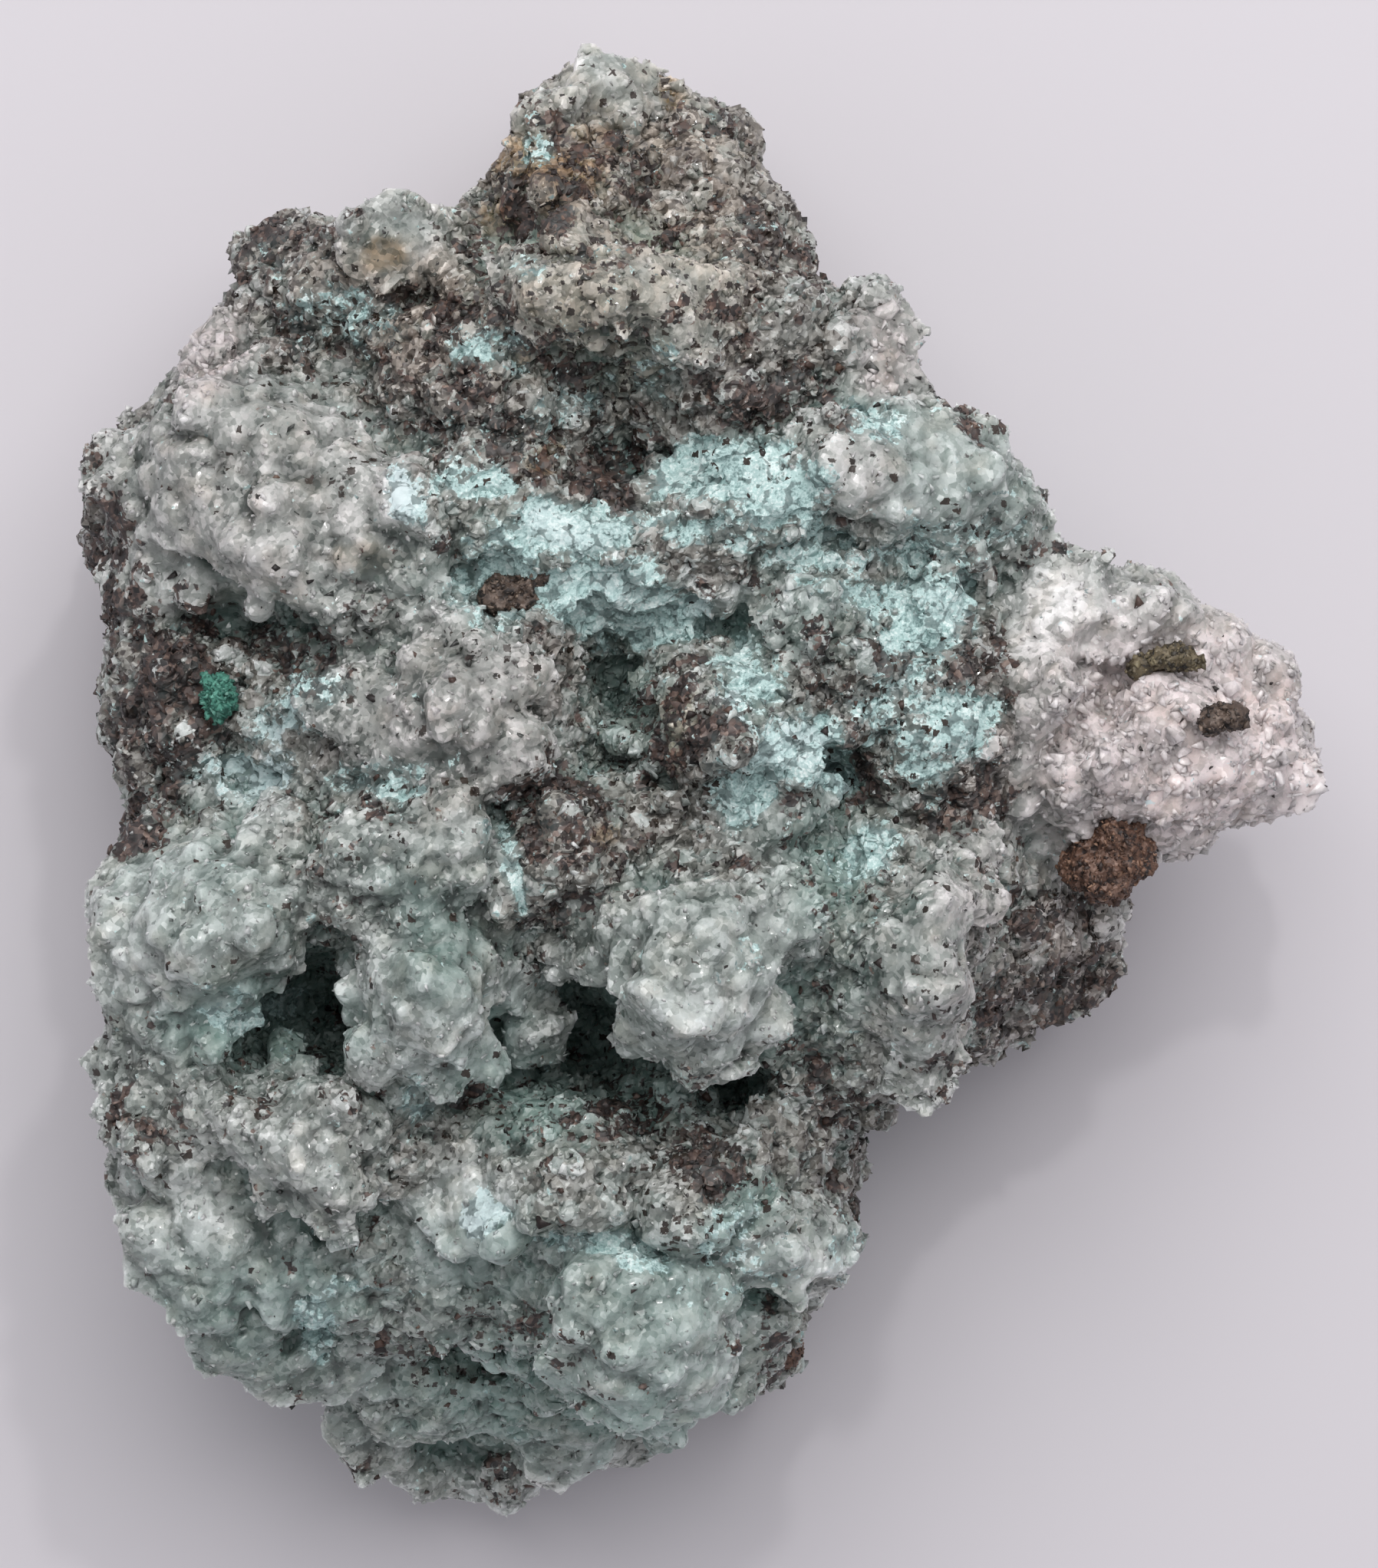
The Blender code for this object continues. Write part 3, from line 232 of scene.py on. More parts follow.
# Many dark specks.
DOTS = [
    (-3, 31, 11, 9, 0.9), (-20, 26.6, 8, 5, 0.7, -15), (10.6, 4.6, 5.6, 5.4, 1),
    (-27.4, 17.2, 1.8, 1.5, 0.9), (-20.5, 17.5, 1.8, 1.5, 1), (-1, -22.6, 4.6, 3.4, 0.9),
    (-6, -20.4, 5.4, 2.4, 0.8), (15, 14, 4, 3, 0.6), (-12, -33, 6, 2.4, 0.6), (2, 19, 6.6, 3, 0.6),
    (-17, -1, 4, 2, 0.6), (-30, 3, 4, 6, 0.6), (-1, 2, 5, 6, 0.6), (-9, -2, 3.6, 3.4, 0.8),
    (-12, 20, 8, 4, 0.8), (20, -9, 6, 5, 0.8, -30), (3, -24, 5, 2.4, 0.6), (-10, 9, 4, 3, 0.5),
    (-33, -20, 3, 4, 0.5), (-5.2, 38.4, 0.9, 0.7, 2), (4.3, 33.3, 1.5, 1.7, 2, 30), (-16.3, 28, 1.2, 1, 2),
    (-6.4, 33, 1.1, 0.6, 2), (-17, -20.6, 1, 0.8, 2), (-16.2, -34.4, 1.6, 0.9, 2),
    (-0.4, -24.6, 2, 2.2, 1.6), (13, -12, 4, 5, 0.4), (-12, -20, 4, 3, 0.5),
]
EDGE_WANDER = 1.3
FLANK_WANDER = 9


def in_ellipse(p, x, y, rx, ry, turn=0):
    """The places as measured by a turned ellipse, which reaches from -1 to 1 both ways."""
    c, s = math.cos(math.radians(turn)), math.sin(math.radians(turn))
    dx, dy = p[:, 0] - x, p[:, 1] - y
    return (dx * c + dy * s) / rx, (-dx * s + dy * c) / ry


def zone(p, blobs, softness=0.45):
    """How strongly the blobs cover each place seen from above, from 0 to 1."""
    cover = np.zeros(len(p))
    for x, y, rx, ry, strength, *turn in blobs:
        u, v = in_ellipse(p, x, y, rx, ry, *turn)
        cover = np.maximum(cover, strength * step(1 + softness, 1 - softness, np.sqrt(u * u + v * v)))
    return cover


def paint(p):
    """The share of each mineral at each place. The zones' edges wander, most of all on the flanks."""
    low = step(20, 6, p[:, 2])[:, None]
    wandering = p.copy()
    shift = np.stack([fbm(p, 3, 900 + k, 3) for k in range(2)], axis=1) * EDGE_WANDER
    shift += np.stack([fbm(p, 7, 940 + k, 2) for k in range(2)], axis=1) * FLANK_WANDER * low
    wandering[:, :2] += shift
    rough = fbm(p, 1.3, 77, 4)
    blue = zone(wandering, BLUE)
    brown = zone(wandering, BROWN)
    clean = zone(wandering, CLEAN)
    brown *= 1 - 0.15 * step(25, 31, p[:, 1])
    return {
        "blue": unit(blue * 1.1 + 0.5 * rough - 0.05 - 0.4 * clean * (1 - blue)),
        "brown": unit(brown * 0.6 + 0.12 + 0.8 * fbm(p, 1.7, 31, 4) - 0.4 * blue - 0.5 * clean),
        "green": zone(wandering, GREEN, 0.8),
        "orange": unit(zone(wandering, ORANGE) + 0.3 * rough),
        "warm": zone(wandering, WARM, 0.6),
        "milk": zone(wandering, MILK, 0.6) + 0.5 * fbm(p, 5, 55, 2),
        "dots": zone(wandering, DOTS, 0.6),
        "clean": np.maximum(clean, zone(wandering, CLEAN, 0.75) * step(-0.1, 0.3, rough)),
    }


# Turning arrays into meshes and back.


def arrays_of(mesh):
    """A mesh's points, in millimetres, and the corners of its triangles."""
    points = np.empty(len(mesh.vertices) * 3)
    mesh.vertices.foreach_get("co", points)
    mesh.calc_loop_triangles()
    faces = np.empty(len(mesh.loop_triangles) * 3, dtype=np.int32)
    mesh.loop_triangles.foreach_get("vertices", faces)
    return points.reshape(-1, 3) / MM, faces.reshape(-1, 3)


def triangle_mesh(name, points, faces):
    """A mesh from arrays of points, in millimetres, and of corner numbers, three a face."""
    mesh = bpy.data.meshes.new(name)
    mesh.vertices.add(len(points))
    mesh.vertices.foreach_set("co", (points * MM).astype(np.float32).ravel())
    mesh.loops.add(len(faces) * 3)
    mesh.loops.foreach_set("vertex_index", faces.astype(np.int32).ravel())
    mesh.polygons.add(len(faces))
    mesh.polygons.foreach_set("loop_start", np.arange(0, len(faces) * 3, 3, dtype=np.int32))
    mesh.update()
    mesh.validate()
    return mesh


def set_attribute(mesh, name, values):
    """Gives each point of the mesh a value, or a colour where the values have columns."""
    kind, field = ("FLOAT", "value") if values.ndim == 1 else ("FLOAT_COLOR", "color")
    attribute = mesh.attributes.new(name, kind, "POINT")
    attribute.data.foreach_set(field, values.astype(np.float32).ravel())


def new_object(name, data):
    """Puts a mesh, a light or a camera into the scene."""
    obj = bpy.data.objects.new(name, data)
    bpy.context.scene.collection.objects.link(obj)
    return obj


def add_piece(mesh, material, node=None):
    """Makes a mesh a piece of the one body, in place of a solid where that is named."""
    mesh.materials.append(MATERIALS[material])
    piece = new_object(mesh.name, mesh)
    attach(piece, "root")
    if node:
        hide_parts(node)


# Materials.


def srgb(r, g, b):
    """A colour read as 0 to 255, made linear."""
    return tuple(((c / 255 + 0.055) / 1.055) ** 2.4 if c > 10 else c / 255 / 12.92 for c in (r, g, b)) + (1,)


class Nodes:
    """Short names for building a material's node tree."""

    def __init__(self, name):
        self.material = bpy.data.materials.new(name)
        self.material.use_nodes = True
        self.tree = self.material.node_tree
        self.place = self.add("TexCoord", {})["Object"]

    def put(self, socket, value):
        if isinstance(value, bpy.types.NodeSocket):
            self.tree.links.new(value, socket)
        else:
            socket.default_value = value

    def add(self, kind, inputs, **settings):
        """Adds a node, sets and feeds it, and gives its outputs."""
        node = self.tree.nodes.new("ShaderNode" + kind)
        for name, value in settings.items():
            setattr(node, name, value)
        for key, value in inputs.items():
            self.put(node.inputs[key], value)
        return node.outputs

    def finished(self, inputs):
        """Feeds the shader, and gives the material."""
        for key, value in inputs.items():
            self.put(self.tree.nodes["Principled BSDF"].inputs[key], value)
        return self.material

    def attribute(self, name, output="Fac"):
        return self.add("Attribute", {}, attribute_name=name)[output]

    def math(self, operation, a, b=0, c=0, clamp=False):
        return self.add("Math", {0: a, 1: b, 2: c}, operation=operation, use_clamp=clamp)[0]

    def times(self, a, b, clamp=False):
        return self.math("MULTIPLY", a, b, clamp=clamp)

    def line(self, value, slope, start):
        """The value times the slope plus the start."""
        return self.math("MULTIPLY_ADD", value, slope, start)

    def mix(self, share, a, b, blend="MIX"):
        return self.add("Mix", {0: share, 6: a, 7: b}, data_type="RGBA", blend_type=blend)[2]

    def tinted(self, colour, r, g, b):
        """The colour times another."""
        return self.mix(1, colour, srgb(r, g, b), "MULTIPLY")

    def noise(self, size, detail=3):
        """Noise of the given feature size in millimetres."""
        inputs = {"Vector": self.place, "Scale": 1 / (size * MM), "Detail": detail, "Roughness": 0.6}
        return self.add("TexNoise", inputs)["Fac"]

    def voronoi(self, size, metric="EUCLIDEAN"):
        """Cells of the given size in millimetres."""
        return self.add("TexVoronoi", {"Vector": self.place, "Scale": 1 / (size * MM)}, distance=metric)

    def picks(self, voronoi):
        """Three values from 0 to 1 for each cell, one independent of the other."""
        return self.add("SeparateColor", {0: voronoi["Color"]})

    def ramp(self, value, low, high):
        """0 below low and 1 above high, smooth between."""
        inputs = {"Value": value, "From Min": low, "From Max": high}
        return self.add("MapRange", inputs, interpolation_type="SMOOTHSTEP")["Result"]

    def vector_math(self, operation, a, b=(0, 0, 0)):
        second = "Scale" if operation == "SCALE" else 1
        return self.add("VectorMath", {0: a, second: b}, operation=operation)[0]

    def tones(self, value, *steps):
        """Colours along a value, given as (value, (red, green, blue)) with the values rising."""
        colour = srgb(*steps[0][1])
        for (low, _), (high, tone) in zip(steps, steps[1:]):
            colour = self.mix(self.ramp(value, low, high), colour, srgb(*tone))
        return colour

    def shaken(self, value, *parts):
        """The value with each (noise, amount) added to it, where the noise goes from 0 to 1."""
        for noise, amount in parts:
            value = self.math("ADD", value, self.times(self.math("SUBTRACT", noise, 0.5), amount))
        return value

    def tilted(self, voronoi, amount, normal=None):
        """Leans the normal of each cell its own way, so that every cell is a small flat face."""
        if normal is None:
            normal = self.add("NewGeometry", {})["Normal"]
        lean = self.vector_math("SUBTRACT", voronoi["Color"], (0.5, 0.5, 0.5))
        lean = self.vector_math("SCALE", lean, amount)
        return self.vector_math("NORMALIZE", self.vector_math("ADD", normal, lean))


def crystal_over_stone(n, m):
    """Crystal, milky where the zones say so, over granular stone; lighter on ridges and darker, blue-green,
    in the hollows, partly frosting and tint and partly painted highlight and shade.
    """
    lone = n.times(n.math("GREATER_THAN", m.clump_c, 0.7), 0.8)
    crystal = n.math("MAXIMUM", n.attribute("crystal"), lone)
    grainy = n.ramp(crystal, 1, 0.7)
    flecks = n.shaken(0.5, (m.clump_a, 0.4), (m.sugar_a, 0.6), (m.dust, 0.4))
    opened = n.line(n.math("MINIMUM", m.milk, 1), -0.7, 1.2)
    # Partly white frosting and partly painted light: the ice is lighter on ridges and darker in hollows by
    # the high attribute, less so in milky crystal.
    cloud = n.shaken(0.47, (m.coarse, 0.8), (m.high, opened), (flecks, n.line(grainy, 0.4, 0.8)))
    cloud = n.math("ADD", cloud, n.times(m.milk, 0.65))
    ice = (0, (92, 102, 98)), (0.5, (150, 156, 153)), (1, (196, 199, 198)), (1.5, (240, 241, 242))
    speckle = n.shaken(0.5, (m.sugar_a, 0.7), (m.fine, 1.2), (m.coarse, 0.6))
    stone = (0, (60, 53, 50)), (0.35, (108, 103, 98)), (0.7, (152, 148, 144)), (1.1, (210, 209, 206))
    colour = n.mix(crystal, n.tones(speckle, *stone), n.tones(cloud, *ice))
    colour = n.mix(m.warm, n.tinted(colour, 245, 250, 248), n.tinted(colour, 244, 231, 230))
    # Blue-green tint from the listed zones, and painted shade from the depth below the surroundings, less in
    # warm crystal.
    stain = n.times(n.math("MAXIMUM", n.attribute("green"), m.deep), n.line(m.warm, -0.65, 0.7))
    colour = n.mix(stain, colour, n.mix(m.coarse, srgb(86, 122, 116), srgb(148, 182, 175)))
    return colour, crystal, grainy


def earth_over(n, m, colour):
    """Brown stone and rusty stain over a colour, with painted shade in the creases; also gives where the
    stone covers.
    """
    earthy = n.shaken(0.45, (m.sugar_b, 0.8), (m.fine, 1))
    earth = (0, (12, 10, 10)), (0.35, (44, 34, 32)), (0.7, (78, 61, 55)), (1.1, (140, 121, 111))
    covered = n.shaken(m.brown, (m.clump_b, 0.5), (m.sugar_c, 0.3), (m.fine, 0.8))
    covered = n.ramp(covered, 0.44, 0.56)
    colour = n.mix(covered, colour, n.tones(earthy, *earth))
    colour = n.mix(n.attribute("orange"), colour, n.tinted(colour, 238, 200, 160))
    # Painted shade: the colour is darkened where the surface lies below its ridges, less in deep hollows and
    # in milky crystal.
    sunk = n.times(n.ramp(m.high, 0.5, 0.05), n.line(m.deep, -0.7, 1))
    painted_crease_shade = n.times(sunk, n.line(m.milk, -0.6, 1), clamp=True)
    return n.mix(painted_crease_shade, colour, n.tinted(colour, 72, 71, 69)), covered


def powder_over(n, m, colour):
    """Chalky, cracked blue powder over a colour; also gives where it covers."""
    colour = n.mix(n.times(m.blue, 0.55), colour, srgb(150, 175, 173))
    powder = n.shaken(m.blue, (m.fine, 1.3), (m.clump_c, 0.35), (m.sugar_a, 0.35), (m.dust, 0.3))
    powdered = n.ramp(powder, 0.4, 0.52)
    shade = n.shaken(0.5, (m.coarse, 1), (m.dust, 1.4), (m.sugar_c, 0.4))
    chalk = n.tones(shade, (0, (120, 146, 145)), (0.45, (172, 199, 197)), (1, (218, 232, 230)))
    crack = n.ramp(n.shaken(m.clumps["Distance"], (m.fine, 0.6)), 0.62, 0.7)
    chalk = n.mix(n.ramp(m.milk, 0.2, 1.2), chalk, srgb(206, 220, 222))
    chalk = n.mix(n.times(crack, 0.7), chalk, srgb(78, 94, 94))
    return n.mix(powdered, colour, chalk), powdered


def specks_over(n, m, colour):
    """Small dark angular specks over a colour; also gives where they are."""
    speck = n.voronoi(0.6, metric="CHEBYCHEV")
    speck_a, speck_b, _ = n.picks(speck)
    often = n.math("SUBTRACT", n.line(n.attribute("dots"), 0.42, 0.02), n.times(m.milk, 0.1))
    often = n.math("SUBTRACT", often, n.times(m.blue, 0.2))
    often = n.shaken(often, (m.coarse, 0.3))
    reach = n.shaken(speck["Distance"], (m.dust, 0.4), (m.fine, 0.3))
    small = n.math("LESS_THAN", reach, n.line(speck_b, 0.3, 0.14))
    specks = n.times(n.math("LESS_THAN", speck_a, often), small)
    return n.mix(specks, colour, n.mix(speck_b, srgb(18, 17, 15), srgb(50, 40, 32))), specks


def specimen_material(name):
    """Crystal and granular stone under brown grains, blue powder, stains and dark specks, with painted
    highlight on ridges and painted shade in hollows and creases.
    """
    n = Nodes(name)
    names = ("blue", "brown", "milk", "warm", "high", "deep")
    m = SimpleNamespace(**{key: n.attribute(key) for key in names})
    m.coarse, m.fine, m.dust = n.noise(2.4, 2), n.noise(0.55, 2), n.noise(0.16, 1)
    m.clumps, m.sugar = n.voronoi(0.9), n.voronoi(0.34)
    m.clump_a, m.clump_b, m.clump_c = n.picks(m.clumps)
    m.sugar_a, m.sugar_b, m.sugar_c = n.picks(m.sugar)
    colour, crystal, grainy = crystal_over_stone(n, m)
    colour, covered = earth_over(n, m, colour)
    colour, powdered = powder_over(n, m, colour)
    colour, specks = specks_over(n, m, colour)
    matte = n.math("MAXIMUM", powdered, n.times(covered, 0.7))
    gloss = n.line(n.math("GREATER_THAN", m.sugar_b, 0.85), -0.36, 0.48)
    dull = n.math("MAXIMUM", n.math("MAXIMUM", powdered, covered), specks)
    normal = n.tilted(m.clumps, n.line(grainy, 0.22, 0.06))
    return n.finished({
        "Base Color": colour,
        "Roughness": n.math("MAXIMUM", n.times(matte, 0.85), gloss),
        "IOR": 1.68,
        "Normal": n.tilted(m.sugar, 0.5, normal),
        "Subsurface Weight": n.times(n.math("SUBTRACT", 1, dull), n.line(crystal, 0.9, -0.1), clamp=True),
        "Subsurface Radius": (1, 1.03, 1),
        "Subsurface Scale": 1.2 * MM,
    })


def plain_stone(name, dark, light, roughness):
    """A brown or green grainy mineral without crystal."""
    n = Nodes(name)
    lumps, sugar = n.voronoi(0.5), n.voronoi(0.22)
    tone = n.shaken(0.5, (n.picks(lumps)[0], 0.6), (n.picks(sugar)[0], 0.5), (n.noise(0.7), 1.6))
    high = tuple(min(255, c + 46) for c in light)
    return n.finished({
        "Base Color": n.tones(tone, (0, dark), (0.6, light), (1.2, high)),
        "Roughness": roughness,
        "Normal": n.tilted(sugar, 0.5, n.tilted(lumps, 0.5)),
    })


def grain_material(name):
    """Small grains, each with its own tone, made uneven by noise."""
    n = Nodes(name)
    mottle = n.noise(0.25)
    darker = n.mix(n.ramp(mottle, 0.3, 0.7), srgb(150, 146, 142), (1, 1, 1, 1))
    return n.finished({
        "Base Color": n.mix(0.5, n.attribute("tone", "Color"), darker, "MULTIPLY"),
        "Roughness": 0.55,
        "IOR": 1.55,
        "Normal": n.add("Bump", {"Distance": 0.05 * MM, "Height": mottle})["Normal"],
    })


MATERIALS = {
    "specimen": specimen_material("specimen"),
    "goethite": plain_stone("goethite", (28, 20, 18), (92, 66, 53), 0.55),
    "dull goethite": plain_stone("dull goethite", (26, 21, 19), (82, 68, 59), 0.6),
    "weathered goethite": plain_stone("weathered goethite", (30, 27, 22), (88, 78, 58), 0.6),
    "rosasite": plain_stone("rosasite", (32, 78, 68), (74, 132, 116), 0.9),
    "stone grains": grain_material("stone grains"),
}


# The skin: all the grainy solids melted into one form, shaped, and parted again into a piece for each solid.

KINDS = ("matrix", "aragonite", "aurichalcite")
GRAINY = [node for node in sorted(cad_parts) if node.split("_")[0] in KINDS]
ATTRIBUTES = ("blue", "brown", "green", "orange", "warm", "milk", "dots", "crystal", "high", "deep")

# Lengths in millimetres.
SEAM_GROWTH = 0.25
FORM_VOXEL = 0.5
SKIN_VOXEL = 0.27
EVEN_REACH = 4.5
BLOCK_ROOM = 0.7
LEDGE_HEIGHT = 2.6
BACK_BELOW = 9
LOWER_BELOW = 4

SKIN_RATIO = 0.6
EVEN_SHARE = 0.4
LEDGE_SHARE = 0.35
LEDGE_EDGE = 0.16
FORM_ROUNDS = 3
SOFT_ROUNDS = 1
RIDGE_ROUNDS = 14
ROUND_CORNERS = 18

# Crystals melted into the skin, angular in stone and rounded in clean crystal: how many, middle radius,
# stretch, tilt, share of the radius sunk in, corners.
BLOCKS = [
    ("stone", 200, 2.2, (1, 0.9, 0.7), 0.4, 0.5, 14),
    ("stone", 800, 1.6, (1, 0.9, 0.75), 0.5, 0.4, 14),
    ("stone", 3000, 1, (1.1, 0.9, 0.8), 0.7, 0.3, 14),
    ("stone", 8000, 0.6, (1, 0.85, 0.9), 0.9, 0.2, 14),
    ("clean", 260, 2, (1, 0.9, 0.75), 0.5, 0.5, 22),
    ("clean", 2200, 1.05, (1, 0.9, 0.8), 0.6, 0.35, 20),
    ("clean", 11000, 0.5, (1, 0.9, 0.85), 0.8, 0.2, 14),
]

# Forms on the display face: x, y, radii along x and y, height or depth, softness, turn in degrees if any.
POCKETS = [
    (-24.4, -13.4, 5, 2.5, -2, 0.4, 6), (-20.6, -15.2, 1.9, 2.4, -1.5, 0.4),
    (-5.4, -15.8, 4, 2.6, -2.5, 0.4, -25), (1.5, -18, 1.9, 1.4, -3, 0.4, 20),
    (-5.2, 5.4, 1.9, 2.3, -3.4, 0.4, 20), (-5.6, 1.4, 1.1, 0.8, -2, 0.3),
    (-28.4, 9.3, 2.9, 0.8, -2.5, 0.3, 4), (-14, -34.4, 2.8, 0.8, -2.5, 0.3, 10),
    (-16.3, 28, 1.1, 0.9, -2.5, 0.3),
]
FORMS = POCKETS + [
    (-2.6, 0, 0.6, 0.8, -2.5, 0.3), (8.1, 14.5, 1.3, 1.3, -2.5, 0.3), (8, -3.7, 0.5, 1.3, -2.5, 0.3),
    (21.6, 2.6, 2.4, 4.6, 2.4, 0.6, 10), (22.4, 2.4, 0.4, 2, -1, 0.3, -12),
    (-11.8, -2.6, 0.7, 1.8, -2, 0.3, 10), (-4.3, -38, 0.8, 0.7, -1.5, 0.3), (-23.8, -32, 0.8, 2, -2, 0.3),
    (-30, 4.6, 1.5, 1.1, -0.8, 0.4), (-29.4, -8.6, 5.6, 4.4, 0.9, 0.15, -8), (-25.3, 12.4, 2.3, 2.2, 1, 0.2),
    (-27, -19.5, 1.6, 1.2, 1.2, 0.2, -30), (-24.6, -21.6, 1.9, 1.4, 1.2, 0.2, -35),
    (-21.6, -23.9, 2.3, 1.3, 1.2, 0.2, -35), (-22, -19.3, 2.4, 3.2, 0.7, 0.6),
    (-16, -13.4, 4.2, 4, 0.8, 0.2, 20), (-10.6, -12.4, 1.6, 2.4, 0.8, 0.25), (-2.2, -10, 4.2, 3.6, 0.6, 0.2),
    (0.9, -13.8, 1.5, 1.4, 0.8, 0.3), (-2.6, -14.4, 1.8, 1.3, 0.6, 0.3), (1.4, 4.2, 3.6, 3.8, 0.8, 0.6),
    (4.7, 1.6, 3.3, 1.6, 0.8, 0.2, 12), (0.8, 11.7, 1.6, 1.8, 0.8, 0.4), (5.6, 9.8, 2.2, 1.7, 0.9, 0.3),
    (8.4, 18, 1.8, 2.3, 0.9, 0.3), (0, 16.4, 1.2, 1.2, 0.7, 0.5), (13.2, 17.4, 2.6, 2.4, 0.6, 0.2, 10),
    (13.8, 10.2, 2.1, 2.2, 0.8, 0.2, 20), (-7.6, 28.2, 4, 2.5, 0.9, 0.4, -5),
    (-7.4, 23.6, 4.2, 1.6, -1.6, 0.5, -8), (-1.2, 27.8, 2.5, 3.6, 0.7, 0.3, 15),
    (-6.8, 41, 2.1, 1.7, 0.7, 0.3), (-2.4, -33.4, 4.6, 5, 0.7, 0.25), (4.9, -28, 3.8, 2, 0.7, 0.3),
    (4.1, -32.8, 1.1, 2.6, 0.8, 0.4, 10), (5.9, -25.1, 1.4, 0.9, 0.9, 0.4),
    (24.5, -8, 1.4, 0.9, 0.9, 0.3, 20), (-7.6, -3, 2.2, 3.2, 0.7, 0.4, 10), (-2.9, -2.1, 1.5, 1.5, 0.7, 0.3),
    (13.9, -7.2, 1.7, 1.2, 0.8, 0.3),
]


def on_face(p):
    """0 low on the flanks and 1 on the display face."""
    return step(4, 14, p[:, 2])


def above_base(p):
    """0 on the flat base, which stays flat, and 1 from two millimetres up."""
    return step(0, 2, p[:, 2])


def used_only(points, faces):
    """Drops the points that no face uses, and gives the numbers of those kept."""
    kept, faces = np.unique(faces, return_inverse=True)
    return points[kept], faces.reshape(-1, 3), kept


def largest_part(points, faces):
    """The biggest connected part."""
    label = np.arange(len(points))
    while True:
        lowest = np.repeat(label[faces].min(axis=1), 3)
        new = label.copy()
        np.minimum.at(new, faces.ravel(), lowest)
        new = new[new]
        if np.array_equal(new, label):
            break
        label = new
    biggest = np.bincount(label).argmax()
    return used_only(points, faces[label[faces[:, 0]] == biggest])[:2]


def modified(obj):
    """The largest part of the object as its modifiers leave it; the object itself goes."""
    bpy.context.view_layer.update()
    before = obj.data
    after = bpy.data.meshes.new_from_object(obj.evaluated_get(bpy.context.evaluated_depsgraph_get()))
    shape = arrays_of(after)
    bpy.data.objects.remove(obj)
    for mesh in (before, after):
        bpy.data.meshes.remove(mesh)
    return largest_part(*shape)


def remeshed(points, faces, voxel, smoothing=0):
    """The form made again from cubes of one size, which closes its seams."""
    obj = new_object("form", triangle_mesh("form", points, faces))
    remesh = obj.modifiers.new("remesh", "REMESH")
    remesh.mode = "VOXEL"
    remesh.voxel_size = voxel * MM
    if smoothing:
        smooth = obj.modifiers.new("smooth", "SMOOTH")
        smooth.iterations = smoothing
    return modified(obj)


def corner_normals(points, faces):
    """The normal at each point."""
    cross = np.cross(points[faces[:, 1]] - points[faces[:, 0]], points[faces[:, 2]] - points[faces[:, 0]])
    sums = [np.bincount(faces.ravel(), np.repeat(cross[:, axis], 3), len(points)) for axis in range(3)]
    total = np.stack(sums, axis=1)
    return total / (np.linalg.norm(total, axis=1)[:, None] + 1e-12)


def spread(values, faces, rounds):
    """Averages the values at the points with their neighbours' values."""
    ends = np.concatenate([faces[:, [0, 1]], faces[:, [1, 2]], faces[:, [2, 0]]])
    count = np.bincount(ends[:, 0], minlength=len(values)) + 1
    for _ in range(rounds):
        values = (values + np.bincount(ends[:, 0], values[ends[:, 1]], len(values))) / count
    return values


def smoothed(points, faces, rounds):
    """The points, each drawn towards its neighbours."""
    return np.stack([spread(points[:, axis], faces, rounds) for axis in range(3)], axis=1)


def seam_free():
    """The solids grown into each other."""
    bm = bmesh.new()
    for node in GRAINY:
        bm.from_mesh(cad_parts[node].data)
    bm.normal_update()
    for vert in bm.verts:
        vert.co += vert.normal * (SEAM_GROWTH * MM)
    mesh = bpy.data.meshes.new("melted")
    bm.to_mesh(mesh)
    bm.free()
    return remeshed(*arrays_of(mesh), FORM_VOXEL, 3)


def warped(p):
    """Pulls the whole specimen about a little, so that no lump stays round."""
    moved = p.copy()
    for axis in range(3):
        moved[:, axis] += 1.1 * fbm(p, 4.6, 200 + axis * 7, 2) + 0.7 * fbm(p, 1.9, 230 + axis * 7, 2)
    return moved


def sculpted(p):
    """How far each point of the display face moves up or down by the listed forms."""
    scallop, _ = cells(p * (1, 1, 0.3), 1.3, 500, "dome")
    wavy = 0.16 * fbm(p * (1, 1, 0.3), 2.2, 520, 3)
    lift = np.zeros(len(p))
    for x, y, rx, ry, height, softness, *turn in FORMS:
        d = np.hypot(*in_ellipse(p, x, y, rx, ry, *turn))
        d += wavy - 0.28 * (scallop - 0.3) / math.sqrt(rx * ry)
        lift += height * step(1 + softness, 1 - softness, d)
    return lift * on_face(p)


def terraced(p, height, seed):
    """How far each point moves up or down to make ledges with scalloped edges."""
    scallop, _ = cells(p, 1, seed + 40, "dome")
    level = (p[:, 2] + 1.3 * fbm(p, 3, seed, 3) + 0.7 * scallop) / height
    part = level - np.floor(level)
    return (step(0.5 - LEDGE_EDGE, 0.5 + LEDGE_EDGE, part) - part) * height


def relief(p, crystal, blue):
    """How far each point moves along its normal, in millimetres."""
    bent = p + np.stack([fbm(p, 0.9, 640 + 9 * axis, 2) for axis in range(3)], axis=1) * 0.25
    _, plate = cells(bent, 1.9, 51, "dome", (1.2, 1, 0.8))
    blocks, block = cells(bent, 1.15, 61, "block")
    small, little = cells(p, 0.7, 71, "block")
    grit = fbm(p, 0.8, 91, 3)
    plate = step(0.35, 0.65, plate)
    clean = 0.35 + 0.1 * plate + 0.05 * blocks + 0.04 * block + 0.04 * little + 0.05 * small
    stone = 0.3 * plate + 0.3 * block + 0.35 * blocks + 0.25 * little + 0.3 * small + 0.15 * grit
    chalk = 0.4 * plate + 0.15 * block + 0.1 * little + 0.12 * grit
    base = stone + (clean - stone) * crystal
    return base + (chalk - base) * step(0.35, 0.65, blue) - 0.35


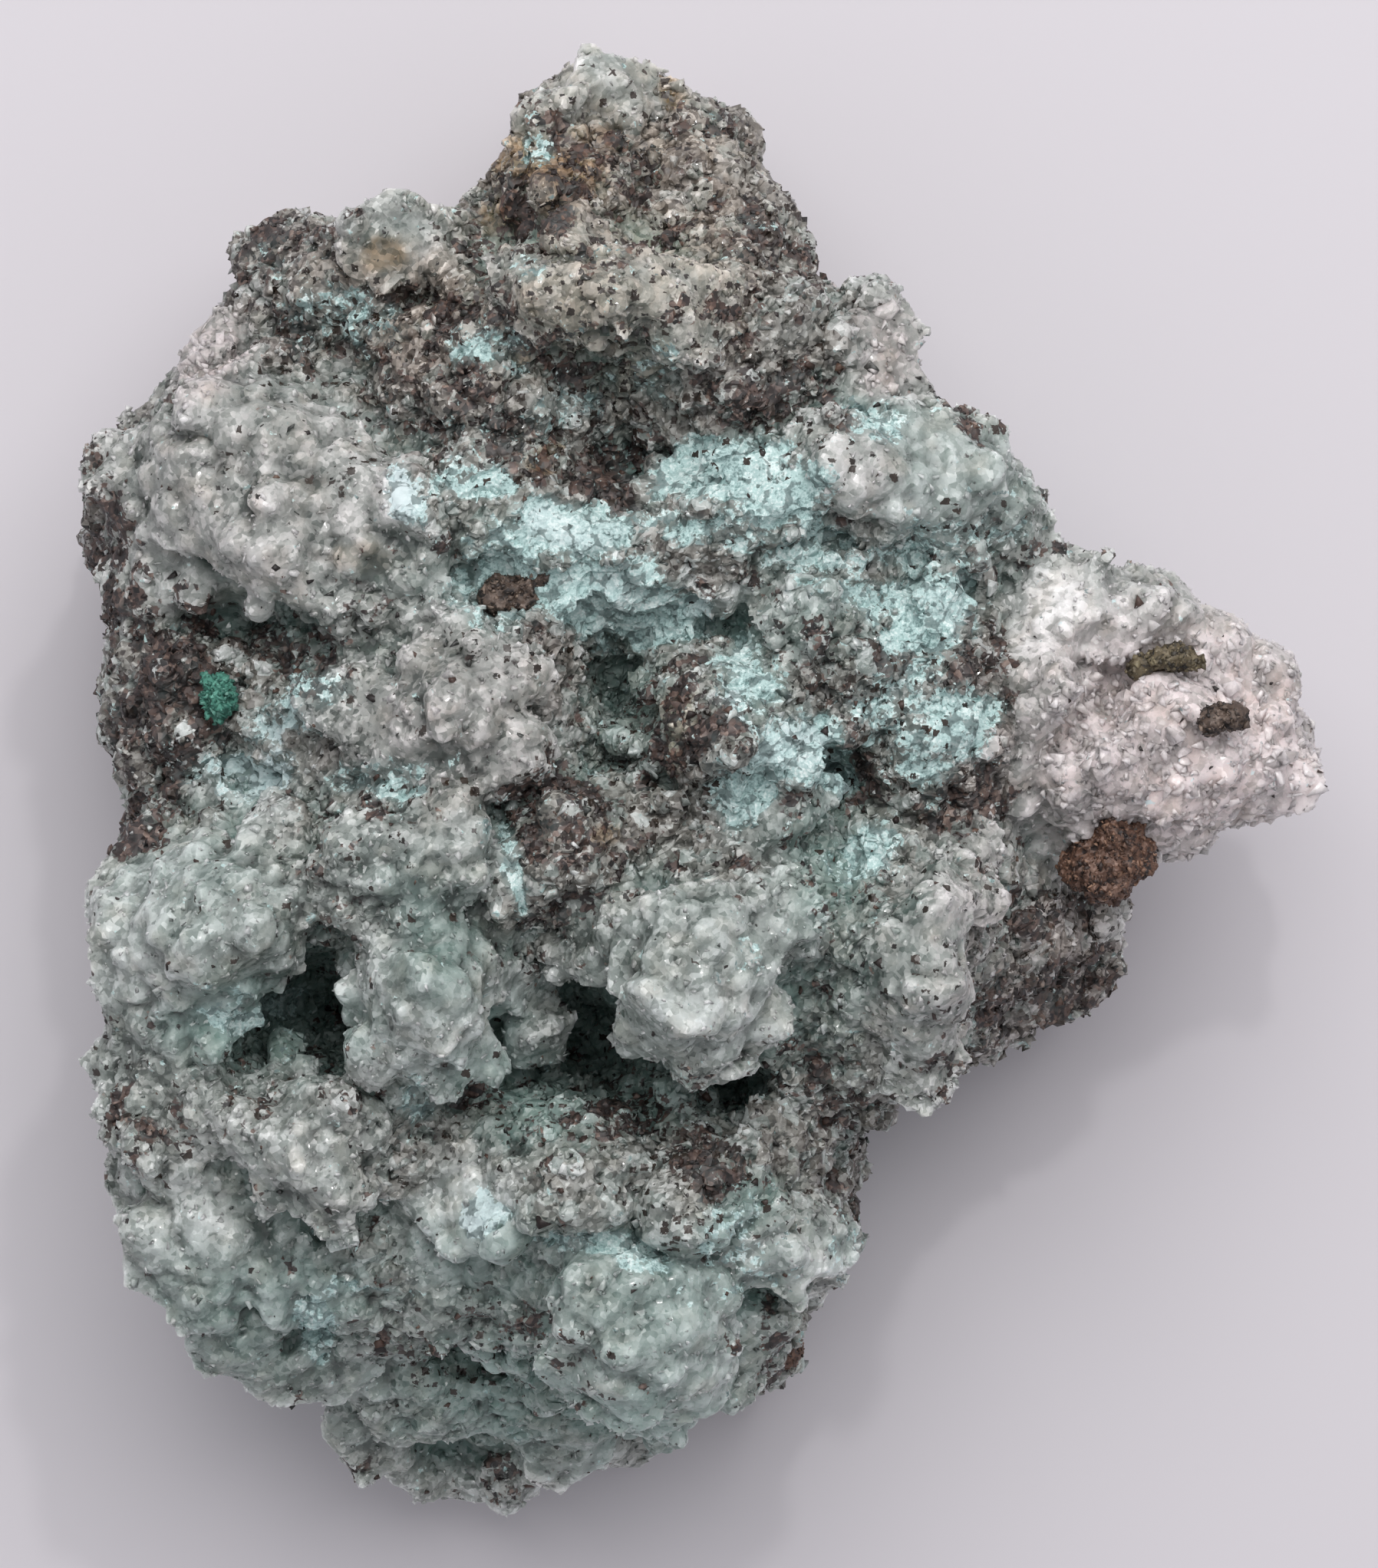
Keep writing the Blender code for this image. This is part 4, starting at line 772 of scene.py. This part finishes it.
def nearest_node(p, cell=0.8):
    """The number of the solid that each point lies nearest to, worked out once for each small cell."""
    samples, owners = [], []
    for number, node in enumerate(GRAINY):
        points, faces = arrays_of(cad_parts[node].data)
        corners = points[faces]
        for share in ((1, 1, 1), (4, 1, 1), (1, 4, 1), (1, 1, 4)):
            weight = np.array(share) / sum(share)
            samples.append((corners * weight[None, :, None]).sum(axis=1))
            owners.append(np.full(len(faces), number))
    samples, owners = np.concatenate(samples), np.concatenate(owners)
    tree = KDTree(len(samples))
    for number, place in enumerate(samples):
        tree.insert(place, number)
    tree.balance()
    box, which = np.unique(np.floor(p / cell).astype(int), axis=0, return_inverse=True)
    found = np.array([tree.find((place + 0.5) * cell)[1] for place in box])
    return owners[found][which.ravel()]


class HeightMap:
    """The display face seen from above, on a grid."""

    def __init__(self, p, cell=0.5, margin=12):
        self.cell = cell
        self.low = p[:, :2].min(axis=0) - margin * cell
        place = ((p[:, :2] - self.low) / self.cell).astype(int)
        self.top = np.zeros(place.max(axis=0) + 1 + margin)
        np.maximum.at(self.top, (place[:, 0], place[:, 1]), p[:, 2])

    def look_up(self, grid, p):
        """The grid's values at the points, blended between its cells."""
        q = (p[:, :2] - self.low) / self.cell - 0.5
        base = np.floor(q).astype(int)
        f = q - base
        total = np.zeros(len(p))
        for dx, dy in itertools.product((0, 1), repeat=2):
            weight = (f[:, 0] if dx else 1 - f[:, 0]) * (f[:, 1] if dy else 1 - f[:, 1])
            total += weight * grid[base[:, 0] + dx, base[:, 1] + dy]
        return total

    def blurred(self, grid, reach):
        """The grid averaged over a disc around each cell."""
        rings = int(reach / self.cell)
        span = range(-rings, rings + 1)
        disc = [(x, y) for x in span for y in span if x * x + y * y <= rings * rings]
        return sum(np.roll(grid, spot, (0, 1)) for spot in disc) / len(disc)

    def share_covered(self, reach):
        """How much of the neighbourhood of each cell the specimen covers, from 0 to 1."""
        return self.blurred((self.top > 0).astype(float), reach)

    def average(self, reach):
        """The average height around each cell, counting only cells that the specimen covers."""
        return self.blurred(self.top, reach) / np.maximum(self.share_covered(reach), 0.2)


def evened(p):
    """Draws the display face towards its average height, so that the masses run into each other."""
    face = HeightMap(p)
    level = face.look_up(face.blurred(face.average(EVEN_REACH), 1.5), p)
    pocket = zone(p, [(x, y, rx * 1.2, ry * 1.2, 0.7, *turn) for x, y, rx, ry, _, _, *turn in POCKETS])
    return (level - p[:, 2]) * EVEN_SHARE * (1 - pocket) * step(5, 13, p[:, 2]) * step(5, 13, level)


def depth_below(p, reach=3):
    """How far each point lies below the average height around it, away from the outline."""
    face = HeightMap(p)
    inland = step(0.8, 0.97, face.look_up(face.share_covered(reach), p))
    return (face.look_up(face.average(reach), p) - p[:, 2]) * inland


def lightened(points, faces, ratio):
    """Takes triangles away from the back and the flat base, and keeps the display face fine."""
    obj = new_object("form", triangle_mesh("form", points, faces))
    normal = corner_normals(points, faces)
    hidden = 1 - step(-0.35, 0.1, normal[:, 2]) * step(3, 9, points[:, 2])
    group = obj.vertex_groups.new(name="back")
    for level in range(1, 6):
        chosen = np.flatnonzero(np.round(hidden * 5) == level)
        group.add(chosen.tolist(), level / 5, "REPLACE")
    decimate = obj.modifiers.new("lighter", "DECIMATE")
    decimate.ratio = ratio
    decimate.vertex_group = "back"
    decimate.vertex_group_factor = 4
    return modified(obj)


def grain_form(seed, stretch, count):
    """The points and faces of one small angular grain, or of a rounder one where it has many corners."""
    rng = random.Random(seed)
    bm = bmesh.new()
    flat = 0.72 if count < ROUND_CORNERS else 1.1
    for _ in range(count):
        spot = Vector(rng.gauss(0, 1) for _ in range(3)).normalized()
        spot = Vector(max(-flat, min(flat, c * 1.25)) for c in spot)
        bm.verts.new(Vector(c * s for c, s in zip(spot, stretch)))
    hull = bmesh.ops.convex_hull(bm, input=bm.verts)
    inside = [item for item in hull["geom_interior"] if isinstance(item, bmesh.types.BMVert)]
    bmesh.ops.delete(bm, geom=inside, context="VERTS")
    bmesh.ops.triangulate(bm, faces=bm.faces)
    bm.verts.index_update()
    points = np.array([v.co[:] for v in bm.verts])
    faces = np.array([[v.index for v in f.verts] for f in bm.faces])
    bm.free()
    return points, faces


def frames(normal, tilt, rng):
    """Rotations that lay a grain's z axis along the normal, turned at random and tilted by up to tilt."""
    normal = normal + rng.normal(size=normal.shape) * tilt
    z = normal / np.linalg.norm(normal, axis=1)[:, None]
    side = rng.normal(size=z.shape)
    x = np.cross(side, z)
    x /= np.linalg.norm(x, axis=1)[:, None]
    return np.stack([x, np.cross(z, x), z], axis=2)


def shards(place, normal, size, stretch, seed, tilt, sink, corners):
    """The points and faces of an angular grain at each place, and the number of the place for each point."""
    rng = np.random.default_rng(seed)
    forms = [grain_form(seed * 100 + k, stretch, corners) for k in range(12)]
    kinds = rng.integers(0, len(forms), len(place))
    turn = frames(normal, tilt, rng)
    shape = size[:, None] * rng.uniform(0.75, 1.3, (len(place), 3))
    points, faces, order = [], [], []
    start = 0
    for number, (form, sides) in enumerate(forms):
        chosen = np.flatnonzero(kinds == number)
        local = form[None] * shape[chosen][:, None, :]
        world = np.einsum("nij,nkj->nki", turn[chosen], local)
        world += (place[chosen] - normal[chosen] * (size[chosen] * sink)[:, None])[:, None, :]
        points.append(world.reshape(-1, 3))
        offset = start + np.arange(len(chosen))[:, None, None] * len(form)
        faces.append((sides[None] + offset).reshape(-1, 3))
        order.append(np.repeat(chosen, len(form)))
        start += len(chosen) * len(form)
    points = np.concatenate(points)
    points[:, 2] = np.maximum(points[:, 2], 0.02)
    return points, np.concatenate(faces), np.concatenate(order)


def places_on(points, faces, count, least_up, rng):
    """Random places on a mesh where it faces up at least so much, with the face and the normal at each."""
    t = points[faces]
    cross = np.cross(t[:, 1] - t[:, 0], t[:, 2] - t[:, 0])
    area = np.linalg.norm(cross, axis=1) + 1e-12
    normal = cross / area[:, None]
    weight = area * step(least_up - 0.1, least_up + 0.3, normal[:, 2])
    pick = rng.choice(len(t), size=count, p=weight / weight.sum())
    u, v = rng.random(count), rng.random(count)
    over = u + v > 1
    u[over], v[over] = 1 - u[over], 1 - v[over]
    place = t[pick, 0] + (t[pick, 1] - t[pick, 0]) * u[:, None] + (t[pick, 2] - t[pick, 0]) * v[:, None]
    return place, pick, normal[pick]


def with_blocks(points, faces):
    """The form with crystals of one to four millimetres standing out of it."""
    rng = np.random.default_rng(12)
    all_points, all_faces = [points], [faces]
    start = len(points)
    face = HeightMap(points)
    inland = face.share_covered(3)
    for kind, count, middle, stretch, tilt, sink, corners in BLOCKS:
        place, _, normal = places_on(points, faces, count, -0.6, rng)
        minerals = paint(place)
        size = middle * rng.lognormal(0, 0.35, count) * (1 - 0.35 * minerals["blue"])
        size *= 0.5 + 0.5 * step(-0.1, 0.5, normal[:, 2])
        size *= 0.35 + 0.65 * step(0.55, 0.85, face.look_up(inland, place))
        glassy = step(0.6, 0.9, minerals["warm"])
        if kind == "stone":
            size *= 0.6 + 0.4 * minerals["clean"]
            kept = rng.random(count) > minerals["clean"] * (0.95 - 0.6 * glassy)
        else:
            glassy *= middle > 0.8
            size *= 1 - 0.35 * glassy
            kept = rng.random(count) < minerals["clean"] * (1 - 0.5 * glassy)
        block, sides, _ = shards(place[kept], normal[kept], size[kept], stretch, count, tilt, sink, corners)
        all_points.append(block)
        all_faces.append(sides + start)
        start += len(block)
    return np.concatenate(all_points), np.concatenate(all_faces)


def rough_form():
    """The melted solids, shaped by the listed forms and at random, with crystals standing out of them."""
    points, faces = seam_free()
    rest = above_base(points)[:, None]
    points += (warped(points) - points) * rest
    points[:, 2] += evened(points)
    points[:, 2] += sculpted(points)
    points[:, 2] += LEDGE_SHARE * terraced(points, LEDGE_HEIGHT, 300) * zone(points, CLEAN) * on_face(points)
    lumps = 0.8 * cells(points, 3.8, 21, "block")[0] + 0.5 * cells(points, 2.2, 23, "block")[0] - 0.4
    points += corner_normals(points, faces) * (lumps[:, None] - BLOCK_ROOM) * rest
    points += (smoothed(points, faces, FORM_ROUNDS) - points) * zone(points, CLEAN)[:, None] * rest
    points, faces = with_blocks(points, faces)
    points, faces = remeshed(points, faces, SKIN_VOXEL)
    share = zone(points, CLEAN) * above_base(points)
    points += (smoothed(points, faces, SOFT_ROUNDS) - points) * share[:, None]
    return lightened(points, faces, SKIN_RATIO)


def parted(points, faces, owner, normal):
    """The pieces of the skin, three of them stone: the solid, its side and which points the piece has."""
    score = np.zeros(len(points))
    best = np.zeros(len(points), dtype=int)
    for number in range(len(GRAINY)):
        here = spread((owner == number).astype(float), faces, 12)
        better = here > score
        score[better], best[better] = here[better], number
    back = spread((normal[:, 2] < -0.2).astype(float) + (points[:, 2] < BACK_BELOW), faces, 12) > 0.5
    upper = points[:, 1] > LOWER_BELOW
    stone = best == GRAINY.index("matrix")
    parts = [(node, "", best == number) for number, node in enumerate(GRAINY) if node != "matrix"]
    return parts + [
        ("matrix", "_back", stone & back),
        ("matrix", "_upper", stone & ~back & upper),
        ("matrix", "_lower", stone & ~back & ~upper),
    ]


def make_skin():
    """Makes the pieces of the skin, and gives its points, faces, normals and minerals for the grains."""
    points, faces = rough_form()
    owner = nearest_node(points)
    grown = np.array([node.split("_")[0] == "aragonite" for node in GRAINY], dtype=float)
    minerals = paint(points)
    crystal = spread(grown[owner], faces, 10)
    crystal = unit(crystal * 0.75 + 0.6 * minerals["clean"] - 0.5 * minerals["brown"])
    move = relief(points, crystal, minerals["blue"]) * above_base(points)
    points += corner_normals(points, faces) * move[:, None]
    points[:, 2] = np.maximum(points[:, 2], 0)
    normal = corner_normals(points, faces)
    minerals["crystal"] = crystal
    # high and deep drive the lighter ridges and darker hollows in the material, partly painted highlight and
    # painted shade.
    ridge = ((points - smoothed(points, faces, RIDGE_ROUNDS)) * normal).sum(axis=1)
    minerals["high"] = unit(0.45 + ridge)
    deep = depth_below(points) * step(-0.2, 0.3, normal[:, 2])
    minerals["deep"] = unit(spread(unit((deep - 0.8) / 3), faces, 6))
    for node, side, mine in parted(points, faces, owner, normal):
        part, corners, kept = used_only(points, faces[mine[faces[:, 0]]])
        mesh = triangle_mesh(f"{node}{side}_surface", part, corners)
        for key in ATTRIBUTES:
            set_attribute(mesh, key, minerals[key][kept])
        mesh.polygons.foreach_set("use_smooth", np.ones(len(corners), dtype=bool))
        mesh.set_sharp_from_angle(angle=math.radians(32))
        add_piece(mesh, "specimen", node)
    return points, faces, normal, minerals


skin_points, skin_faces, skin_normals, skin_minerals = make_skin()


# Small crystals, dark grains and blue flakes grown onto the skin. The counts are places tried.

CRYSTALS = 30000
WING_CRYSTALS = 17000
GRAINS = 14000
HALF_LINE = 2
DARK_TONES = [(22, 17, 16), (46, 34, 31), (80, 60, 52), (112, 88, 74)]


def picked(minerals, which):
    """The minerals at some of the places."""
    return {key: values[which] for key, values in minerals.items()}


def sample_surface(count, seed, least_up):
    """Random places on the skin where it faces up at least so much, with their normals and minerals."""
    place, pick, _ = places_on(skin_points, skin_faces, count, least_up, np.random.default_rng(seed))
    corner = skin_faces[pick, 0]
    return place, skin_normals[corner], picked(skin_minerals, corner)


def grains(name, place, normal, size, values, material, stretch, seed, tilt=1, sink=0.2, corners=8):
    """Joins one small grain at each place into one mesh, each with its own values of each attribute."""
    points, faces, order = shards(place, normal, size, stretch, seed, tilt, sink, corners)
    mesh = triangle_mesh(name, points, faces)
    for key, value in values.items():
        set_attribute(mesh, key, value[order])
    add_piece(mesh, material)


def toned(colours, share):
    """One colour for each share from 0 to 1 along the list of colours."""
    table = np.array([srgb(*c) for c in colours])
    at = unit(share) * (len(table) - 1)
    low = np.minimum(at.astype(int), len(table) - 2)
    return {"tone": table[low] + (table[low + 1] - table[low]) * (at - low)[:, None]}


def mineral_values(minerals, chosen, rng):
    """The minerals at the chosen places, with each crystal a little whiter or greyer than the next."""
    values = picked(minerals, chosen)
    shade = rng.normal(0.08, 0.18, chosen.sum()) * (1 + values["warm"])
    values["high"] = unit(values["high"] + shade)
    return values


def small_crystals(rng):
    """Crystals over the whole face, fewer on clean crystal and on powder, and some clear on brown stone."""
    place, normal, minerals = sample_surface(CRYSTALS, 3, -0.5)
    size = rng.lognormal(-1.25, 0.36, len(place)).clip(0.14, 0.7) * (0.95 - 0.1 * minerals["crystal"])
    glassy = step(0.6, 0.9, minerals["warm"])
    sparse = minerals["clean"] * (1 - glassy)
    size *= 1 - 0.25 * sparse + 0.5 * glassy
    kept = rng.random(len(place)) > np.maximum(0.75 * step(0.4, 0.7, minerals["blue"]), 0.4 * sparse)
    place, normal, size, minerals = place[kept], normal[kept], size[kept], picked(minerals, kept)
    clear = rng.random(len(place)) < 0.4 - 0.28 * minerals["brown"]
    minerals["crystal"] = np.where(clear, np.maximum(minerals["crystal"], 0.75), minerals["crystal"])
    minerals["brown"] = np.where(clear, minerals["brown"] * 0.3, minerals["brown"])
    upper = place[:, 1] > HALF_LINE
    for name, mine in (("upper_crystals", upper), ("lower_crystals", ~upper)):
        values = mineral_values(minerals, mine, rng)
        grains(name, place[mine], normal[mine], size[mine], values, "specimen",
               (1, 0.8, 1.1), 8, tilt=0.8, sink=0.3, corners=7)


def wing_crystals(rng):
    """Larger angular crystals where the clean crystal is glassy."""
    place, normal, minerals = sample_surface(WING_CRYSTALS, 6, -0.3)
    kept = rng.random(len(place)) < step(0.6, 0.9, minerals["warm"]) * minerals["clean"]
    size = rng.lognormal(-0.55, 0.34, kept.sum()).clip(0.3, 1.3)
    values = mineral_values(minerals, kept, rng)
    grains("wing_crystals", place[kept], normal[kept], size, values, "specimen",
           (0.75, 0.6, 1.2), 10, tilt=0.7, sink=0.5, corners=9)


def dark_and_blue(rng):
    """Dark grains, most of them on brown stone, and flakes of blue powder."""
    place, normal, minerals = sample_surface(GRAINS, 4, 0)
    brown, blue, crystal = minerals["brown"], minerals["blue"], minerals["crystal"]
    draw = rng.random(len(place))
    dark_share = 0.04 + 0.6 * brown * (1 - 0.7 * crystal)
    dark = draw < dark_share
    size = rng.lognormal(-1.75, 0.42, dark.sum()).clip(0.08, 0.5)
    tone = toned(DARK_TONES, rng.beta(1, 1.9, dark.sum()))
    grains("dark_grains", place[dark], normal[dark], size, tone, "stone grains", (1, 1, 0.9), 7)
    flake = ~dark & (draw < dark_share + 0.6 * blue * (blue > 0.3))
    size = rng.lognormal(-1.2, 0.36, flake.sum()).clip(0.12, 0.7)
    values = mineral_values(minerals, flake, rng)
    grains("blue_flakes", place[flake], normal[flake], size, values, "specimen",
           (1.1, 0.9, 0.3), 9, tilt=0.28, sink=0.1)


grain_rng = np.random.default_rng(44)
small_crystals(grain_rng)
wing_crystals(grain_rng)
dark_and_blue(grain_rng)


# The brown clasts and the green tuft: material, growth, facet size, facet depth, lump size, lump height.
CLASTS = {
    "goethite_centre_clast": ("dull goethite", 0.4, 1.8, 2, 0.45, 0.6),
    "goethite_low_clast": ("goethite", 0.5, 3.2, 2.2, 0.45, 0.4),
    "goethite_nugget": ("goethite", 0.5, 3.2, 2.2, 0.45, 0.4),
    "goethite_wing_chip": ("dull goethite", 0.2, 1.5, 1.3, 0.35, 0.35),
    "goethite_wing_sliver": ("weathered goethite", 0.2, 1.5, 1.3, 0.35, 0.35),
    "rosasite_tuft": ("rosasite", 0, 0.9, 1.2, 0.35, 0.6),
}
CLAST_VOXEL = 0.18
SAND_PER_POINT = 0.22
SAND = {
    "goethite": [(26, 18, 16), (76, 54, 44), (116, 86, 69), (164, 130, 108)],
    "dull goethite": [(24, 19, 17), (64, 53, 47), (102, 87, 77), (146, 128, 114)],
    "weathered goethite": [(24, 22, 18), (66, 58, 42), (108, 98, 74), (150, 140, 112)],
    "rosasite": [(28, 70, 62), (52, 112, 98), (86, 148, 132), (120, 172, 158)],
}


def clast(node, material, growth, facet, dent, lump, bump):
    """A grain made rough in place of its solid, with a coat of sand."""
    points, faces = remeshed(*arrays_of(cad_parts[node].data), CLAST_VOXEL, 2)
    big, _ = cells(points, facet, 710, "block")
    small, _ = cells(points, lump, 720, "dome")
    move = growth + dent * (big - 0.5) + bump * (small - 0.3) + 0.15 * fbm(points, 0.4, 730, 3)
    points += corner_normals(points, faces) * move[:, None]
    add_piece(triangle_mesh(f"{node}_surface", points, faces), material, node)
    rng = np.random.default_rng(len(points))
    count = int(SAND_PER_POINT * len(points))
    place, _, normal = places_on(points, faces, count, -0.2, rng)
    size = rng.lognormal(-1.75, 0.35, count).clip(0.08, 0.35)
    tone = toned(SAND[material], rng.beta(1.3, 1.5, count))
    grains(f"{node}_grains", place, normal, size, tone, "stone grains", (1, 0.9, 0.8), 14)


for name, values in CLASTS.items():
    clast(name, *values)


# The floor, the light and the camera.

LIGHT_COLOUR = (1, 0.98, 0.97)
SKY_COLOUR = (0.93, 0.92, 0.96, 1)
SKY_STRENGTH = 0.54
PIXELS_PER_MM = 22
PHOTO_HEIGHT = 2044
REFERENCE_HEIGHT = 0.016
CAMERA_DISTANCE = 0.62
SENSOR_HEIGHT = 24


def area_light(name, place, size, power):
    """A round light that points at the specimen."""
    data = bpy.data.lights.new(name, "AREA")
    data.shape = "DISK"
    data.size = size
    data.energy = power
    data.color = LIGHT_COLOUR
    light = new_object(name, data)
    light.location = Vector(place)
    light.rotation_euler = (-Vector(place)).to_track_quat("-Z", "Y").to_euler()


floor_mesh = bpy.data.meshes.new("floor")
bm = bmesh.new()
bmesh.ops.create_grid(bm, x_segments=1, y_segments=1, size=1.5)
bm.to_mesh(floor_mesh)
bm.free()
floor = new_object("floor", floor_mesh)
floor.data.materials.append(Nodes("paper").finished({"Base Color": srgb(206, 203, 208), "Roughness": 0.9}))

world = bpy.data.worlds.new("soft sky")
bpy.context.scene.world = world
world.use_nodes = True
sky = world.node_tree.nodes["Background"].inputs
sky["Color"].default_value = SKY_COLOUR
sky["Strength"].default_value = SKY_STRENGTH
area_light("window", (0.02, 0.27, 0.44), 0.56, 2.3)
area_light("lamp", (0.08, 0.3, 0.5), 0.03, 0.35)

camera_data = bpy.data.cameras.new("camera")
camera_data.sensor_fit = "VERTICAL"
camera_data.sensor_height = SENSOR_HEIGHT
camera_data.lens = SENSOR_HEIGHT * CAMERA_DISTANCE / (PHOTO_HEIGHT / PIXELS_PER_MM * MM)
camera_data.clip_end = 10
camera = new_object("camera", camera_data)
camera.location = (-20 / PIXELS_PER_MM * MM, -4 / PIXELS_PER_MM * MM, REFERENCE_HEIGHT + CAMERA_DISTANCE)
bpy.context.scene.camera = camera
bpy.context.scene.view_settings.view_transform = "Standard"
